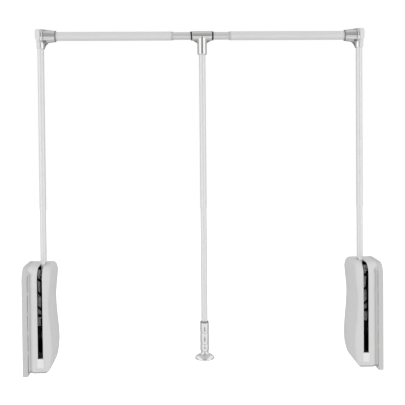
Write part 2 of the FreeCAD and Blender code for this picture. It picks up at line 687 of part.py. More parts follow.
def lift_cam():
    thick = number("cam_thick")
    lobe = cam_profile().extrude(FreeCAD.Vector(thick, 0, 0))
    lobe.translate(point("strut_x - cam_thick / 2", "0", "pivot_z"))
    low = "frame_x + side_gap"
    plate = cylinder("cam_round", "cam_base", ("strut_x - cam_thick / 2", "0", "pivot_z"), "cam_thick", "x")
    hub = cylinder("cam_boss", "cam_hub", (low, "0", "pivot_z"), f"lever_x - ({low})", "x")
    hole = cylinder("cam_hole", "bush + 2 * seat_gap", ("0", "0", "pivot_z"), "width / 2", "x")
    both_sides(cut("lift_cam", fuse("cam_solid", feature("cam_lobe", lobe), plate, hub), hole), "lift_cam")


def pivot_bush():
    start = "frame_x + side_gap / 2"
    length = f"frame_end - side_gap / 4 - ({start})"
    both_sides(tube("pivot_bush", "bush", "bush_wall", (start, "0", "pivot_z"), length, "x"), "pivot_bush")


def arm_tube():
    length = "rod_height + arm_wall - tube_foot"
    both_sides(tube("arm_tube", "arm_tube", "arm_wall", ("arm_inset", "0", "tube_foot"), length), "arm_tube")


# Corner fittings ---------------------------------------------------------------------------------
def corner_web():
    """Web under the rail socket, with a hollow curve between socket and foot."""
    drop = number("corner_drop")
    start = point("arm_inset + corner_socket / 4", "0", "rod_height")
    foot = point("arm_inset + corner_socket / 2", "0", "rod_height - corner_drop + arm_wall")
    middle = point("arm_inset + web_hollow", "0", "rod_height - hollow_drop")
    tip = point("mouth_x - arm_wall", "0", "rod_height - corner_mouth / 2 + arm_wall")
    low = FreeCAD.Vector(start.x, 0, foot.z)
    curve = Part.Arc(foot, middle, tip).toShape()
    edges = [
        Part.makeLine(start, low),
        Part.makeLine(low, foot),
        curve,
        Part.makeLine(tip, FreeCAD.Vector(tip.x, 0, start.z)),
        Part.makeLine(FreeCAD.Vector(tip.x, 0, start.z), start),
    ]
    face = Part.Face(Part.Wire(edges))
    face.translate(FreeCAD.Vector(0, -number("web_thick") / 2, 0))
    return feature("corner_web", face.extrude(FreeCAD.Vector(0, number("web_thick"), 0)))


def corner_fitting():
    axis = ("flange_x", "0", "rod_height")
    flange = cylinder("corner_flange", "corner_flange", axis, "flange_end - flange_x", "x")
    taper_long = "mouth_x - flange_end"
    taper = cone("corner_taper", "corner_root", "corner_mouth", ("flange_end", "0", "rod_height"), taper_long, "x")
    foot = ("arm_inset", "0", "rod_height - corner_drop")
    socket = cylinder("corner_socket", "corner_socket", foot, "corner_drop")
    half = box(
        "corner_half",
        ("flange_x", "mouth_x"),
        ("-corner_flange", "corner_flange"),
        ("rod_height - corner_drop", "rod_height + corner_flange"),
    )
    body = common("corner_body", fuse("corner_solid", flange, taper, socket, corner_web()), half)
    rod_hole = cylinder("corner_rod_hole", "outer_rod + 2 * seat_gap", ("rod_x", "0", "rod_height"), "mouth_x", "x")
    arm_hole_at = ("arm_inset", "0", "rod_height - corner_drop - 1")
    arm_hole_long = "corner_drop + 1 + arm_wall + free_gap"
    arm_hole = cylinder("corner_arm_hole", "arm_tube + 2 * seat_gap", arm_hole_at, arm_hole_long)
    grub_at = ("(mouth_x + flange_end) / 2", "outer_rod / 2", "rod_height")
    grub_hole = cylinder("corner_grub_hole", "grub + 2 * seat_gap", grub_at, "corner_flange", "y")
    both_sides(cut("corner_fitting", body, rod_hole, arm_hole, grub_hole), "corner_fitting")
    length = "(corner_root + corner_mouth) / 4 - outer_rod / 2 - free_gap"
    grub_seat = (grub_at[0], "outer_rod / 2 + seat_gap", "rod_height")
    both_sides(cylinder("corner_grub", "grub", grub_seat, length, "y"), "corner_grub")


def corner_cap():
    """Cap over the outer half: full above the rail, slimmer down at the arm tube, and round in plan."""
    top = point("arm_inset - cap_shoulder", "0", "rod_height + corner_flange / 2")
    bulge = point("arm_inset - cap_reach", "0", "rod_height + cap_belly")
    knee = point("arm_inset - cap_foot", "0", "rod_height - cap_knee")
    foot = point("arm_inset - cap_foot", "0", "rod_height - corner_drop + arm_wall")
    low = FreeCAD.Vector(number("arm_inset"), 0, foot.z)
    high = FreeCAD.Vector(number("arm_inset"), 0, top.z)
    edges = [
        Part.makeLine(foot, knee),
        Part.Arc(knee, bulge, top).toShape(),
        Part.makeLine(top, high),
        Part.makeLine(high, low),
        Part.makeLine(low, foot),
    ]
    face = Part.Face(Part.Wire(edges))
    face.translate(FreeCAD.Vector(0, -number("corner_flange") / 2, 0))
    slab = feature("cap_slab", face.extrude(FreeCAD.Vector(0, number("corner_flange"), 0)))
    reach = "cap_reach + 1"
    disc = cylinder("cap_disc", "corner_flange", ("arm_inset - cap_reach - 1", "0", "rod_height"), reach, "x")
    tail = box(
        "cap_tail",
        ("arm_inset - cap_reach - 1", "arm_inset"),
        ("-corner_socket / 2", "corner_socket / 2"),
        ("rod_height - corner_drop", "rod_height"),
    )
    round_at = ("arm_inset - cap_reach + corner_flange / 2", "0", "rod_height - corner_drop")
    plan = cylinder("cap_plan", "corner_flange", round_at, "corner_drop + corner_flange")
    body = common("cap_body", slab, fuse("cap_front_view", disc, tail), plan)
    hole_at = ("arm_inset", "0", "rod_height - corner_drop - 1")
    hole = cylinder("cap_hole", "arm_tube + 2 * seat_gap", hole_at, "corner_drop + 1 + arm_wall + free_gap")
    both_sides(cut("corner_cap", body, hole), "corner_cap")


# Rail ------------------------------------------------------------------------------------------
def rail():
    start = ("rod_x + free_gap", "0", "rod_height")
    outer = tube("outer_rod", "outer_rod", "outer_wall", start, "outer_long - free_gap", "x")
    both_sides(outer, "outer_rod")
    bore = "inner_rod / 2 + run_gap"
    inside = "outer_rod / 2 - outer_wall - seat_gap"
    outline = [
        (bore, "0"),
        (inside, "0"),
        (inside, "bush_long"),
        ("outer_rod / 2", "bush_long"),
        ("inner_rod / 2 + collar_lip", "bush_long + collar"),
        (bore, "bush_long + collar"),
    ]
    at = ("rod_end - bush_long", "0", "rod_height")
    both_sides(turned("rod_bush", outline, at, "x"), "rod_bush")
    keep(tube("inner_rod", "inner_rod", "inner_wall", ("inner_x", "0", "rod_height"), "inner_long", "x"), "inner_rod")


# Tee and handle ----------------------------------------------------------------------------------
def tee():
    start = ("tee_x - tee_long / 2", "0", "rod_height")
    barrel = cylinder("tee_barrel", "tee_barrel", start, "tee_long", "x")
    neck_at = ("tee_x", "0", "rod_height - tee_drop + tee_lip_tall")
    neck = cylinder("tee_neck", "tee_neck", neck_at, "tee_drop - tee_lip_tall")
    lip_at = ("tee_x", "0", "rod_height - tee_drop")
    lip = cone("tee_lip", "tee_neck - 2 * tee_lip", "tee_neck", lip_at, "tee_lip_tall")
    side = "tee_neck / 2 + tee_web"
    spots = [
        point(f"tee_x - {side}", "0", "rod_height - tee_barrel / 4"),
        point(f"tee_x + {side}", "0", "rod_height - tee_barrel / 4"),
        point(f"tee_x + {side}", "0", "rod_height - tee_barrel / 2"),
        point("tee_x + tee_neck / 4", "0", "rod_height - tee_barrel / 2 - tee_web"),
        point("tee_x - tee_neck / 4", "0", "rod_height - tee_barrel / 2 - tee_web"),
        point(f"tee_x - {side}", "0", "rod_height - tee_barrel / 2"),
    ]
    face = Part.Face(Part.makePolygon(spots + spots[:1]))
    face.translate(FreeCAD.Vector(0, -number("web_thick") / 2, 0))
    webs = feature("tee_webs", face.extrude(FreeCAD.Vector(0, number("web_thick"), 0)))
    rod_hole = cylinder("tee_rod_hole", "inner_rod + 4 * run_gap", start, "tee_long", "x")
    socket_at = ("tee_x", "0", "rod_height - tee_drop - 1")
    socket = cylinder("tee_handle_hole", "handle_tube + 2 * seat_gap", socket_at, "tee_socket + 1 + free_gap")
    grub_at = ("tee_x", "handle_tube / 2", "rod_height - tee_drop + tee_socket / 2")
    grub_hole = cylinder("tee_grub_hole", "grub + 2 * seat_gap", grub_at, "tee_neck", "y")
    keep(cut("tee", fuse("tee_solid", barrel, neck, lip, webs), rod_hole, socket, grub_hole), "tee_fitting")
    grub_seat = ("tee_x", "handle_tube / 2 + seat_gap", grub_at[2])
    grub_long = "(tee_neck - handle_tube) / 2 - free_gap"
    keep(cylinder("tee_grub", "grub", grub_seat, grub_long, "y"), "tee_grub")
    rings = []
    for sign in (-1, 1):
        near = f"tee_x + {sign} * (tee_long / 2 + free_gap + ring_thick / 2) - ring_thick / 2"
        outside = cylinder(f"ring_outside{sign + 1}", "ring", (near, "0", "rod_height"), "ring_thick", "x")
        inside_dia = "inner_rod + 2 * seat_gap"
        inside = cylinder(f"ring_inside{sign + 1}", inside_dia, (near, "0", "rod_height"), "ring_thick", "x")
        rings.append(cut(f"ring{sign + 1}", outside, inside))
    keep(group("tee_rings", rings), "tee_rings")


def handle():
    length = "handle_top - disc_top + disc_tall"
    foot = ("tee_x", "0", "disc_top - disc_tall")
    keep(tube("handle_tube", "handle_tube", "handle_wall", foot, length), "handle_tube")
    bore = "handle_tube / 2 + seat_gap"
    third = "(grip_long - 2 * grip_groove) / 3"
    outline = [(bore, "0")]
    for i in range(3):
        low = f"{i} * ({third} + grip_groove)"
        outline.append(("grip / 2 - grip_bulge", low))
        outline.append(("grip / 2", f"{low} + {third} / 4"))
        outline.append(("grip / 2", f"{low} + 3 * {third} / 4"))
        outline.append(("grip / 2 - grip_bulge", f"{low} + {third}"))
        if i < 2:
            outline.append(("grip / 2 - grip_bulge - groove_deep", f"{low} + {third}"))
            outline.append(("grip / 2 - grip_bulge - groove_deep", f"{low} + {third} + grip_groove"))
    outline.append(("grip / 2 - 2 * grip_bulge", "grip_long + grip_groove"))
    outline.append((f"{bore} + 1", "grip_long + 2 * grip_groove"))
    outline.append((bore, "grip_long + 2 * grip_groove"))
    keep(turned("handle_grip", outline, ("tee_x", "0", "disc_top")), "handle_grip")
    plug = f"({bore})"
    outline = [("0", "0"), ("disc / 2 - disc_rim", "0"), ("disc / 2", "disc_rim / 2")]
    root = "(collar_dia / 2 + disc_rim / 2)"
    steps = 6
    for i in range(steps + 1):
        swell = f"4 * disc_dome * {i} * {steps - i} / {steps * steps}"
        radius = f"disc / 2 - {i} / {steps} * (disc / 2 - {root}) + {swell}"
        outline.append((radius, f"disc_rim + {i} / {steps} * (disc_tall - 2 * disc_rim)"))
    outline += [
        ("collar_dia / 2", "disc_tall"),
        ("collar_dia / 2", "disc_tall + collar_tall"),
        (plug, "disc_tall + collar_tall"),
        (plug, "collar_tall - seat_gap"),
        ("0", "collar_tall - seat_gap"),
    ]
    keep(turned("grip_disc", outline, ("tee_x", "0", "handle_foot")), "grip_disc")


def write_steps():
    doc.recompute()
    for thing in doc.Objects:
        if {"Invalid", "Error"} & set(thing.State):
            raise RuntimeError(f"{thing.Label} failed: {thing.State}")
    for piece in pieces:
        if piece.Shape.isNull() or not piece.Shape.isValid() or piece.Shape.Volume <= 0:
            raise RuntimeError(f"{piece.Label} has no valid shape")
    os.makedirs("parts", exist_ok=True)
    for piece in pieces:
        piece.Shape.exportStep(f"parts/{piece.Label}.step")


def main():
    fill_sheets()
    for build in (wall_plate, cover, cover_clips, bumper):
        build()
    for build in (frame, frame_screws, axle, stop_pin, guide_rod, plunger, lift_spring):
        build()
    for build in (lever, lift_cam, pivot_bush, arm_tube, corner_fitting, corner_cap):
        build()
    for build in (rail, tee, handle):
        build()
    write_steps()


main()
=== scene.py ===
import json
import math

import bmesh
import bpy
from bmesh.types import BMEdge, BMFace, BMVert
from bpy.props import FloatProperty, FloatVectorProperty, PointerProperty
from mathutils import Matrix, Vector


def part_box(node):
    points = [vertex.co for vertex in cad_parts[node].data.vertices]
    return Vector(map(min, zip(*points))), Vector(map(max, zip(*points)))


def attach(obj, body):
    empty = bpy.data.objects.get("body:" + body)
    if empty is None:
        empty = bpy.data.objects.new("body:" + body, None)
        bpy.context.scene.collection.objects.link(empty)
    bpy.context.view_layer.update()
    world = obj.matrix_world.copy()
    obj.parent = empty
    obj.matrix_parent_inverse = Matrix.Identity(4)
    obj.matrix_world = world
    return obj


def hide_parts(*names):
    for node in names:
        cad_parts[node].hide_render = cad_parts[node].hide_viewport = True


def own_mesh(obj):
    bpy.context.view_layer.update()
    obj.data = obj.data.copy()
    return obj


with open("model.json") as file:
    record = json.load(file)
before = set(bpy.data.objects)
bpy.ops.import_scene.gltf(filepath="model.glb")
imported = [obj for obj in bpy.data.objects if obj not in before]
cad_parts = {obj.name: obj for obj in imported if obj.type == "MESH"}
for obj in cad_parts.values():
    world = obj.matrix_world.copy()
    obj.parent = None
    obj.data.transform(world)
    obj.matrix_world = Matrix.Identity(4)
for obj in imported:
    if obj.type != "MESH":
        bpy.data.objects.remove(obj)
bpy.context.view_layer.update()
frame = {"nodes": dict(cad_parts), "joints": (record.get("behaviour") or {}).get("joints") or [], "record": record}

bl_info = {
    "name": "Pull Down Closet Rod",
    "version": (1, 0, 0),
    "blender": (4, 5, 0),
    "location": "View3D > Sidebar > Closet Rod",
    "description": "Dresses the solids of a pull down closet rod with its visible shapes and finishes",
    "category": "Object",
}

MM = 0.001
SIDES = ("left", "right")
COVER_LOW, COVER_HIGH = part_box("left_cover")
COVER_MIDDLE = (COVER_LOW + COVER_HIGH) / 2
COVER_HALF = (COVER_HIGH - COVER_LOW) / 2
ARM_LOW, ARM_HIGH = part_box("left_arm_tube")
ROD_LOW, ROD_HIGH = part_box("left_outer_rod")
BUMPER_LOW, BUMPER_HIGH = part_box("left_bumper")
BUMPER_SIZE = Vector((17.4 * MM, 6 * MM, 24 * MM))
PLATE_RIM = 13 * MM
FLOOR_Z = -0.62
MIDDLE = (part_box("left_wall_plate")[0].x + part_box("right_wall_plate")[1].x) / 2
TEE_X = (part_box("handle_tube")[0].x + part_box("handle_tube")[1].x) / 2
ARM_X = (ARM_LOW.x + ARM_HIGH.x) / 2
ROD_Z = (ROD_LOW.z + ROD_HIGH.z) / 2


# ---- Sizes and colours a user would change ----
def length(name, description, default):
    return FloatProperty(name=name, description=description, default=default, min=0.0, unit="LENGTH")


def colour(name, description, default):
    return FloatVectorProperty(
        name=name, description=description, default=default, size=3, subtype="COLOR", min=0.0, max=1.0
    )


class HousingSizes(bpy.types.PropertyGroup):
    """Sizes of the two housings."""

    seam_at: length("Seam", "Cover's edge from the wardrobe's side", 14.6 * MM)
    hollow_width: length("Hollow width", "Hollow in the cover beside the seam, along the rail", 12 * MM)
    hollow_depth: length("Hollow depth", "Depth of that hollow", 6.5 * MM)
    seam_lip: length("Seam lip", "Cover's lip between the seam and the hollow, below the face", 1.4 * MM)
    seam_top: length("Seam top", "Where the seam closes below the housing's top", 7.5 * MM)
    seam_ease: length("Seam ease", "Height over which the seam closes", 7 * MM)
    groove: length("Seam groove", "How far the cover's skirt stands back in the seam", 2.8 * MM)
    skirt: length("Skirt", "Cover's skirt inside the wall plate", 5.5 * MM)
    wall: length("Wall", "Cover's wall", 2.2 * MM)
    crease: length("Crease", "Rounding between the cover's face and its inner side", 10.5 * MM)
    crease_depth: length("Crease depth", "How far the crease draws in the face", 3.2 * MM)
    top_round: length("Upper round", "Radius of the upper front edge", 30 * MM)
    crest_round: length("Crest round", "Radius of the upper back edge", 20 * MM)
    back_round: length("Lower round", "Radius of the lower back edge", 30 * MM)
    small_round: length("Small round", "Radius of the lower front edge", 1.6 * MM)
    foot_groove: length("Foot groove", "Depth of the groove above the cover's foot", 2.6 * MM)
    slot_width: length("Slot width", "Slot for the lever", 12.6 * MM)
    slot_tail: length("Slot tail", "Slot's end on the top, behind the arm", 15 * MM)
    lip: length("Lip", "Rounding of the slot's lips", 0.7 * MM)
    plate_edge: length("Plate edge", "Rounding of the wall plate's edges", 0.9 * MM)
    belly_reach: length("Belly", "Cover's inner side from the wall, at the belly", 70.3 * MM)
    waist_reach: length("Waist", "Cover's inner side from the wall, at the waist", 63.4 * MM)
    shoulder_reach: length("Shoulder", "Cover's inner side from the wall, at the shoulder", 68.6 * MM)
    top_reach: length("Top", "Cover's inner side from the wall, at the top", 68.1 * MM)
    ankle_reach: length("Ankle", "Cover's inner side from the wall, just above the foot", 67 * MM)
    foot_reach: length("Foot", "Cover's inner side from the wall, at the foot", 63.3 * MM)
    bumper_round: length("Bumper round", "Rounding of the bumper's edges", 1.8 * MM)
    wire_thick: length("Spring wire", "Thickness of the lift spring's flat wire", 2.3 * MM)
    wire_height: length("Spring wire height", "Height of the lift spring's flat wire", 7 * MM)


class FittingSizes(bpy.types.PropertyGroup):
    """Sizes of the rail, the arms, their fittings and the handle."""

    arm_wall: length("Arm wall", "Arm tube's wall", 1.4 * MM)
    rail_wall: length("Rail wall", "Outer rail tube's wall", 1 * MM)
    inner_wall: length("Inner rail wall", "Inner rail tube's wall", 1.2 * MM)
    tube_edge: length("Tube edge", "Rounding of the tubes' ends", 0.3 * MM)
    casting_grain: length("Casting step", "Step of the mesh of the castings", 0.55 * MM)
    neck_foot: length("Neck foot", "Height of the straight foot of the tee's neck", 7 * MM)
    ring_groove: length("Ring groove", "Depth of the groove round each tee ring", 0.7 * MM)
    grip_bulge: length("Grip bulge", "How far each length of the grip swells", 0.4 * MM)
    grip_groove: length("Grip groove", "Width of the grooves between the grip's lengths", 1.6 * MM)
    groove_depth: length("Groove depth", "Depth of the grip's grooves", 0.6 * MM)
    disc_dome: length("Disc dome", "How far the grip's disc swells past a straight cone", 2.8 * MM)


class FinishColours(bpy.types.PropertyGroup):
    """Colours of the materials."""

    housing: colour("Housing plastic", "Moulded plastic of plates and covers", (0.62, 0.62, 0.618))
    cap: colour("Cap plastic", "Smooth plastic of the corner caps", (0.69, 0.69, 0.688))
    bumper: colour("Bumper plastic", "White plastic of the bumpers", (0.73, 0.73, 0.728))
    rail: colour("Rail", "Satin metal of the rail tubes", (0.73, 0.73, 0.728))
    arm: colour("Arm paint", "Silver paint of arms and handle tube", (0.77, 0.77, 0.768))
    chrome: colour("Chrome", "Plated castings", (0.82, 0.819, 0.817))
    zinc: colour("Zinc", "Plated steel of pins and levers", (0.92, 0.918, 0.915))
    black: colour("Black", "Black steel, springs and rubber", (0.012, 0.012, 0.012))


class StudioSettings(bpy.types.PropertyGroup):
    """Levels of the studio's light."""

    ambient: FloatProperty(name="Ambient", description="Light from all round", default=0.79, min=0.0)
    front: FloatProperty(name="Front", description="Lamp in front, in watts", default=4.6, min=0.0)
    side: FloatProperty(name="Side", description="Each lamp at the sides, in watts", default=4.0, min=0.0)


# ---- Materials ----
class Signal:
    """A number that varies over a surface. Arithmetic on it adds Math nodes."""

    def __init__(self, finish, socket):
        self.finish = finish
        self.socket = socket

    def __add__(self, other):
        return self.finish.maths("ADD", self, other)

    __radd__ = __add__

    def __mul__(self, other):
        return self.finish.maths("MULTIPLY", self, other)

    __rmul__ = __mul__

    def __sub__(self, other):
        return self.finish.maths("SUBTRACT", self, other)

    def __rsub__(self, other):
        return self.finish.maths("SUBTRACT", other, self)

    def __neg__(self):
        return self * -1.0

    def __abs__(self):
        return self.finish.maths("ABSOLUTE", self)


class Finish:
    """A node tree under construction."""

    def __init__(self, data):
        data.use_nodes = True
        self.data = data
        self.tree = data.node_tree

    def feed(self, socket, value):
        if isinstance(value, Signal):
            self.tree.links.new(value.socket, socket)
        else:
            socket.default_value = value

    def node(self, kind, settings=None, sockets=None, output=0):
        """Add a node: its settings first, a ramp's stops among them, then its sockets."""
        made = self.tree.nodes.new(kind)
        for key, value in (settings or {}).items():
            if key == "stops":
                for element, (place, shade) in zip(made.color_ramp.elements, value):
                    element.position = place
                    element.color = (shade, shade, shade, 1)
            else:
                setattr(made, key, value)
        for key, value in (sockets or {}).items():
            self.feed(made.inputs[key], value)
        return Signal(self, made.outputs[output])

    def maths(self, operation, *values):
        return self.node("ShaderNodeMath", {"operation": operation}, dict(enumerate(values)))

    def place(self, stretch=(1, 1, 1)):
        where = self.node("ShaderNodeTexCoord", output="Object")
        return self.node("ShaderNodeMapping", sockets={"Vector": where, "Scale": stretch})

    def axes(self, space="Object"):
        """The three coordinates of a space."""
        where = self.node("ShaderNodeTexCoord", output=space)
        return [self.node("ShaderNodeSeparateXYZ", sockets={0: where}, output=axis) for axis in "XYZ"]

    def noise(self, scale, detail=2.0, stretch=(1, 1, 1)):
        sockets = {"Vector": self.place(stretch), "Scale": scale, "Detail": detail}
        return self.node("ShaderNodeTexNoise", sockets=sockets, output="Fac")

    def smooth(self, value, low, high):
        """0 below low, 1 above high, smooth between."""
        settings = {"interpolation_type": "SMOOTHSTEP"}
        return self.node("ShaderNodeMapRange", settings, {"Value": value, "From Min": low, "From Max": high})

    def blend(self, first, share, second):
        """From the first number to the second as share goes from 0 to 1."""
        return first + (second - first) * share

    def between(self, share, first, second):
        """A colour between two others."""
        first, second = [end if isinstance(end, Signal) else (*end, 1) for end in (first, second)]
        return self.node("ShaderNodeMix", {"data_type": "RGBA"}, {0: share, 6: first, 7: second}, 2)

    def bump(self, height, strength, distance):
        sockets = {"Height": height, "Strength": strength, "Distance": distance}
        return self.node("ShaderNodeBump", sockets=sockets, output="Normal")

    def surface(self, base, roughness, normal, **others):
        """Feed the Principled shader; other sockets' names have _ for each space."""
        shader = self.tree.nodes["Principled BSDF"]
        others.update(Base_Color=base, Roughness=roughness, Normal=normal)
        for key, value in others.items():
            self.feed(shader.inputs[key.replace("_", " ")], value)
        return self.data


def shade(tint, factor):
    return tuple(min(1.0, channel * factor) for channel in tint)


def new_finish(name):
    return Finish(bpy.data.materials.new(name))


def moulded_plastic(name, tint, roughness=0.42, grain=0.22):
    """Spark-eroded plastic: a fine grain, faint flow marks and a slightly uneven sheen."""
    finish = new_finish(name)
    flow = finish.noise(14, 3, (1, 1, 0.35))
    fine = finish.noise(2600, 2)
    coarse = finish.noise(700, 3)
    base = finish.between(flow * 0.6 + coarse * 0.4, shade(tint, 0.965), shade(tint, 1.03))
    uneven = finish.noise(45, 3) * 0.12 + fine * 0.08 + (roughness - 0.1)
    pits = finish.bump(fine * 0.6 + coarse * 0.4, grain, 0.1 * MM)
    return finish.surface(base, uneven, pits, Specular_IOR_Level=0.45)


def satin_metal(name, tint, metallic, roughness):
    """Drawn and anodised tube: fine lines along the rail."""
    finish = new_finish(name)
    lines = finish.noise(900, 3, (0.01, 1, 1))
    cloud = finish.noise(9, 2)
    base = finish.between(lines * 0.7 + cloud * 0.3, shade(tint, 0.94), shade(tint, 1.05))
    uneven = lines * 0.1 + cloud * 0.06 + (roughness - 0.08)
    return finish.surface(base, uneven, finish.bump(lines, 0.12, 0.03 * MM), Metallic=metallic)


def silver_paint(name, tint):
    """Powder coat with metal flakes under a thin clear layer."""
    finish = new_finish(name)
    peel = finish.noise(420, 2)
    sockets = {"Vector": finish.place(), "Scale": 2400}
    flakes = finish.node("ShaderNodeTexVoronoi", {"feature": "F1"}, sockets, "Distance")
    base = finish.between(flakes * 0.5 + peel * 0.5, shade(tint, 0.93), shade(tint, 1.06))
    coat = {"Metallic": 0.45, "Coat_Weight": peel * 0.1 + 0.12, "Coat_Roughness": 0.25}
    return finish.surface(base, flakes * 0.12 + 0.33, finish.bump(peel, 0.1, 0.05 * MM), **coat)


def chrome_plate(name, tint, shaded=None, haze=0.06):
    """Plated casting: bright, with a faint haze and very slight waves; where a mask is given, painted shade
    darkens its colour and it is rougher there.
    """
    finish = new_finish(name)
    cloud = finish.noise(70, 3)
    waves = finish.noise(160, 2)
    base = finish.between(cloud, shade(tint, 0.97), shade(tint, 1.03))
    roughness = cloud * 0.07 + haze
    if shaded:
        # Painted shade: the mask darkens the chrome towards 0.22 of its tint.
        share = shaded(finish)
        base = finish.between(share, base, shade(tint, 0.22))
        roughness = roughness + share * 0.4
    return finish.surface(base, roughness, finish.bump(waves, 0.06, 0.1 * MM), Metallic=1.0)


def web_shade(finish):
    """Painted shade: 1 on the thin web under a socket or barrel."""
    _, y, z = finish.axes()
    thin = 1 - finish.smooth(abs(y), 3.4 * MM, 4.8 * MM)
    return thin * (1 - finish.smooth(z, ROD_Z - 12 * MM, ROD_Z - 9 * MM))


def socket_shade(finish):
    """How much painted shade, with added roughness, the corner fitting gets: web, ring at the socket's mouth,
    corner behind the flange, and bands over and under the socket's root."""
    x, _, z = finish.axes()
    low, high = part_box("left_corner_fitting")
    out = MIDDLE - abs(x - MIDDLE)
    painted_shade = finish.smooth(out, high.x - 3.2 * MM, high.x - 2.2 * MM) * 0.75
    corner = 1 - finish.smooth(abs(out - (low.x + 7.9 * MM)), 0.5 * MM, 1.3 * MM)
    corner = corner * finish.smooth(z, ROD_Z - 19 * MM, ROD_Z - 17 * MM)
    root = 1 - finish.smooth(abs(out - (low.x + 11 * MM)), 2.5 * MM, 6 * MM)
    under = 1 - finish.smooth(abs(z - (ROD_Z - 13 * MM)), 1.5 * MM, 3.5 * MM)
    over = finish.smooth(z, ROD_Z + 11 * MM, ROD_Z + 13 * MM)
    for part in (corner * 0.7, root * under * 0.7, root * over * 0.5, web_shade(finish)):
        painted_shade = finish.maths("MAXIMUM", painted_shade, part)
    return painted_shade


def collar_shade(finish):
    """How much painted shade, with added roughness, the grip gets: only its collar."""
    z = finish.axes()[2]
    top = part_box("handle_grip")[1].z
    return finish.smooth(z, top - 4.4 * MM, top - 4.0 * MM) * 0.7


def plated_steel(name, tint):
    """Zinc plate: cloudy, with fine scratches."""
    finish = new_finish(name)
    cloud = finish.noise(220, 4)
    scratches = finish.noise(1500, 2, (0.2, 1, 0.08))
    base = finish.between(cloud * 0.7 + scratches * 0.3, shade(tint, 0.9), shade(tint, 1.06))
    return finish.surface(base, cloud * 0.1 + 0.12, finish.bump(scratches, 0.1, 0.05 * MM), Metallic=0.05)


def black_coat(name, tint, roughness, metallic):
    """Black steel or rubber: dust-grey in places, matt and slightly grainy."""
    finish = new_finish(name)
    dust = finish.noise(130, 4)
    grain = finish.noise(1900, 2)
    base = finish.between(dust * 0.8, tint, shade(tint, 2.2))
    uneven = dust * 0.15 + grain * 0.1 + (roughness - 0.12)
    return finish.surface(base, uneven, finish.bump(grain, 0.2, 0.08 * MM), Metallic=metallic)


def finish_for(slot):
    """The finish of a slot of the record, or of a piece that has its own, made once."""
    name = slot + "_finish"
    if name in bpy.data.materials:
        return bpy.data.materials[name]
    tints = bpy.context.scene.rod_colours
    makers = {
        "housing_plastic": lambda: moulded_plastic(name, tints.housing),
        # Painted shade: the wall plates take the covers' plastic darkened to 0.85.
        "plate_plastic": lambda: moulded_plastic(name, shade(tints.housing, 0.85)),
        "cap_plastic": lambda: moulded_plastic(name, tints.cap, 0.38, 0.08),
        "bumper_plastic": lambda: moulded_plastic(name, tints.bumper, 0.4, 0.1),
        "bush_plastic": lambda: moulded_plastic(name, shade(tints.cap, 0.72), 0.5, 0.1),
        "satin_rail": lambda: satin_metal(name, tints.rail, 0.35, 0.55),
        "inner_rail": lambda: satin_metal(name, tints.rail, 0.6, 0.38),
        "arm_paint": lambda: silver_paint(name, tints.arm),
        "chrome": lambda: chrome_plate(name, tints.chrome),
        # These three chromes carry painted shade from their masks.
        "chrome_tee": lambda: chrome_plate(name, tints.chrome, web_shade),
        "chrome_corner": lambda: chrome_plate(name, tints.chrome, socket_shade),
        "chrome_grip": lambda: chrome_plate(name, tints.chrome, collar_shade),
        "chrome_disc": lambda: chrome_plate(name, tints.chrome, haze=0.24),
        "ring_rubber": lambda: black_coat(name, tints.black, 0.6, 0.0),
        "black_steel": lambda: black_coat(name, tints.black, 0.45, 0.2),
        "spring_steel": lambda: black_coat(name, tints.black, 0.4, 0.3),
        "zinc_steel": lambda: plated_steel(name, tints.zinc),
    }
    return makers[slot]()


# ---- Making pieces ----
def show(thing):
    """Put an object in the scene."""
    bpy.context.scene.collection.objects.link(thing)
    return thing


def mesh_from(bm, name):
    """The mesh of a bmesh, which it frees."""
    mesh = bpy.data.meshes.new(name)
    bm.to_mesh(mesh)
    bm.free()
    return mesh


def only(kind, geom):
    return [item for item in geom if isinstance(item, kind)]


def round_edges(piece, name, width, degrees):
    """A Bevel modifier on edges sharper than an angle."""
    bevel = piece.modifiers.new(name, "BEVEL")
    bevel.width = width
    bevel.segments = 3
    bevel.limit_method = "ANGLE"
    bevel.angle_limit = math.radians(degrees)
    bevel.harden_normals = True


def soften(bm, geom, radius, segments, affect):
    """Bevel corners or edges of a bmesh in place."""
    options = {"offset_type": "OFFSET", "profile": 0.5, "material": -1}
    bmesh.ops.bevel(bm, geom=geom, offset=radius, segments=segments, affect=affect, **options)


def mirror_to_right(bm):
    """Mirror a left piece about the middle of the rail."""
    flip = Matrix.Translation((2 * MIDDLE, 0, 0)) @ Matrix.Scale(-1, 4, (1, 0, 0))
    bmesh.ops.transform(bm, matrix=flip, verts=bm.verts)
    bmesh.ops.reverse_faces(bm, faces=bm.faces)


def add_piece(name, bm, body, slot, stands_for, edge=0.0, finish=None):
    """Make a piece of a bmesh: smooth, its sharp edges rounded, riding on its body."""
    mesh = mesh_from(bm, name)
    mesh.shade_smooth()
    mesh.set_sharp_from_angle(angle=math.radians(40))
    piece = show(bpy.data.objects.new(name, mesh))
    if edge:
        round_edges(piece, "Edges", edge, 38)
    mesh.materials.append(finish_for(finish or slot))
    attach(piece, body)
    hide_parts(*stands_for)
    return piece


def add_both(build, name, body, slot, node, **options):
    """A left piece and its mirror image, each standing for its side's node."""
    for side in SIDES:
        bm = build()
        if side == "right":
            mirror_to_right(bm)
        add_piece(f"{side}_{name}", bm, f"{side}_{body}", slot, [f"{side}_{node}"], **options)


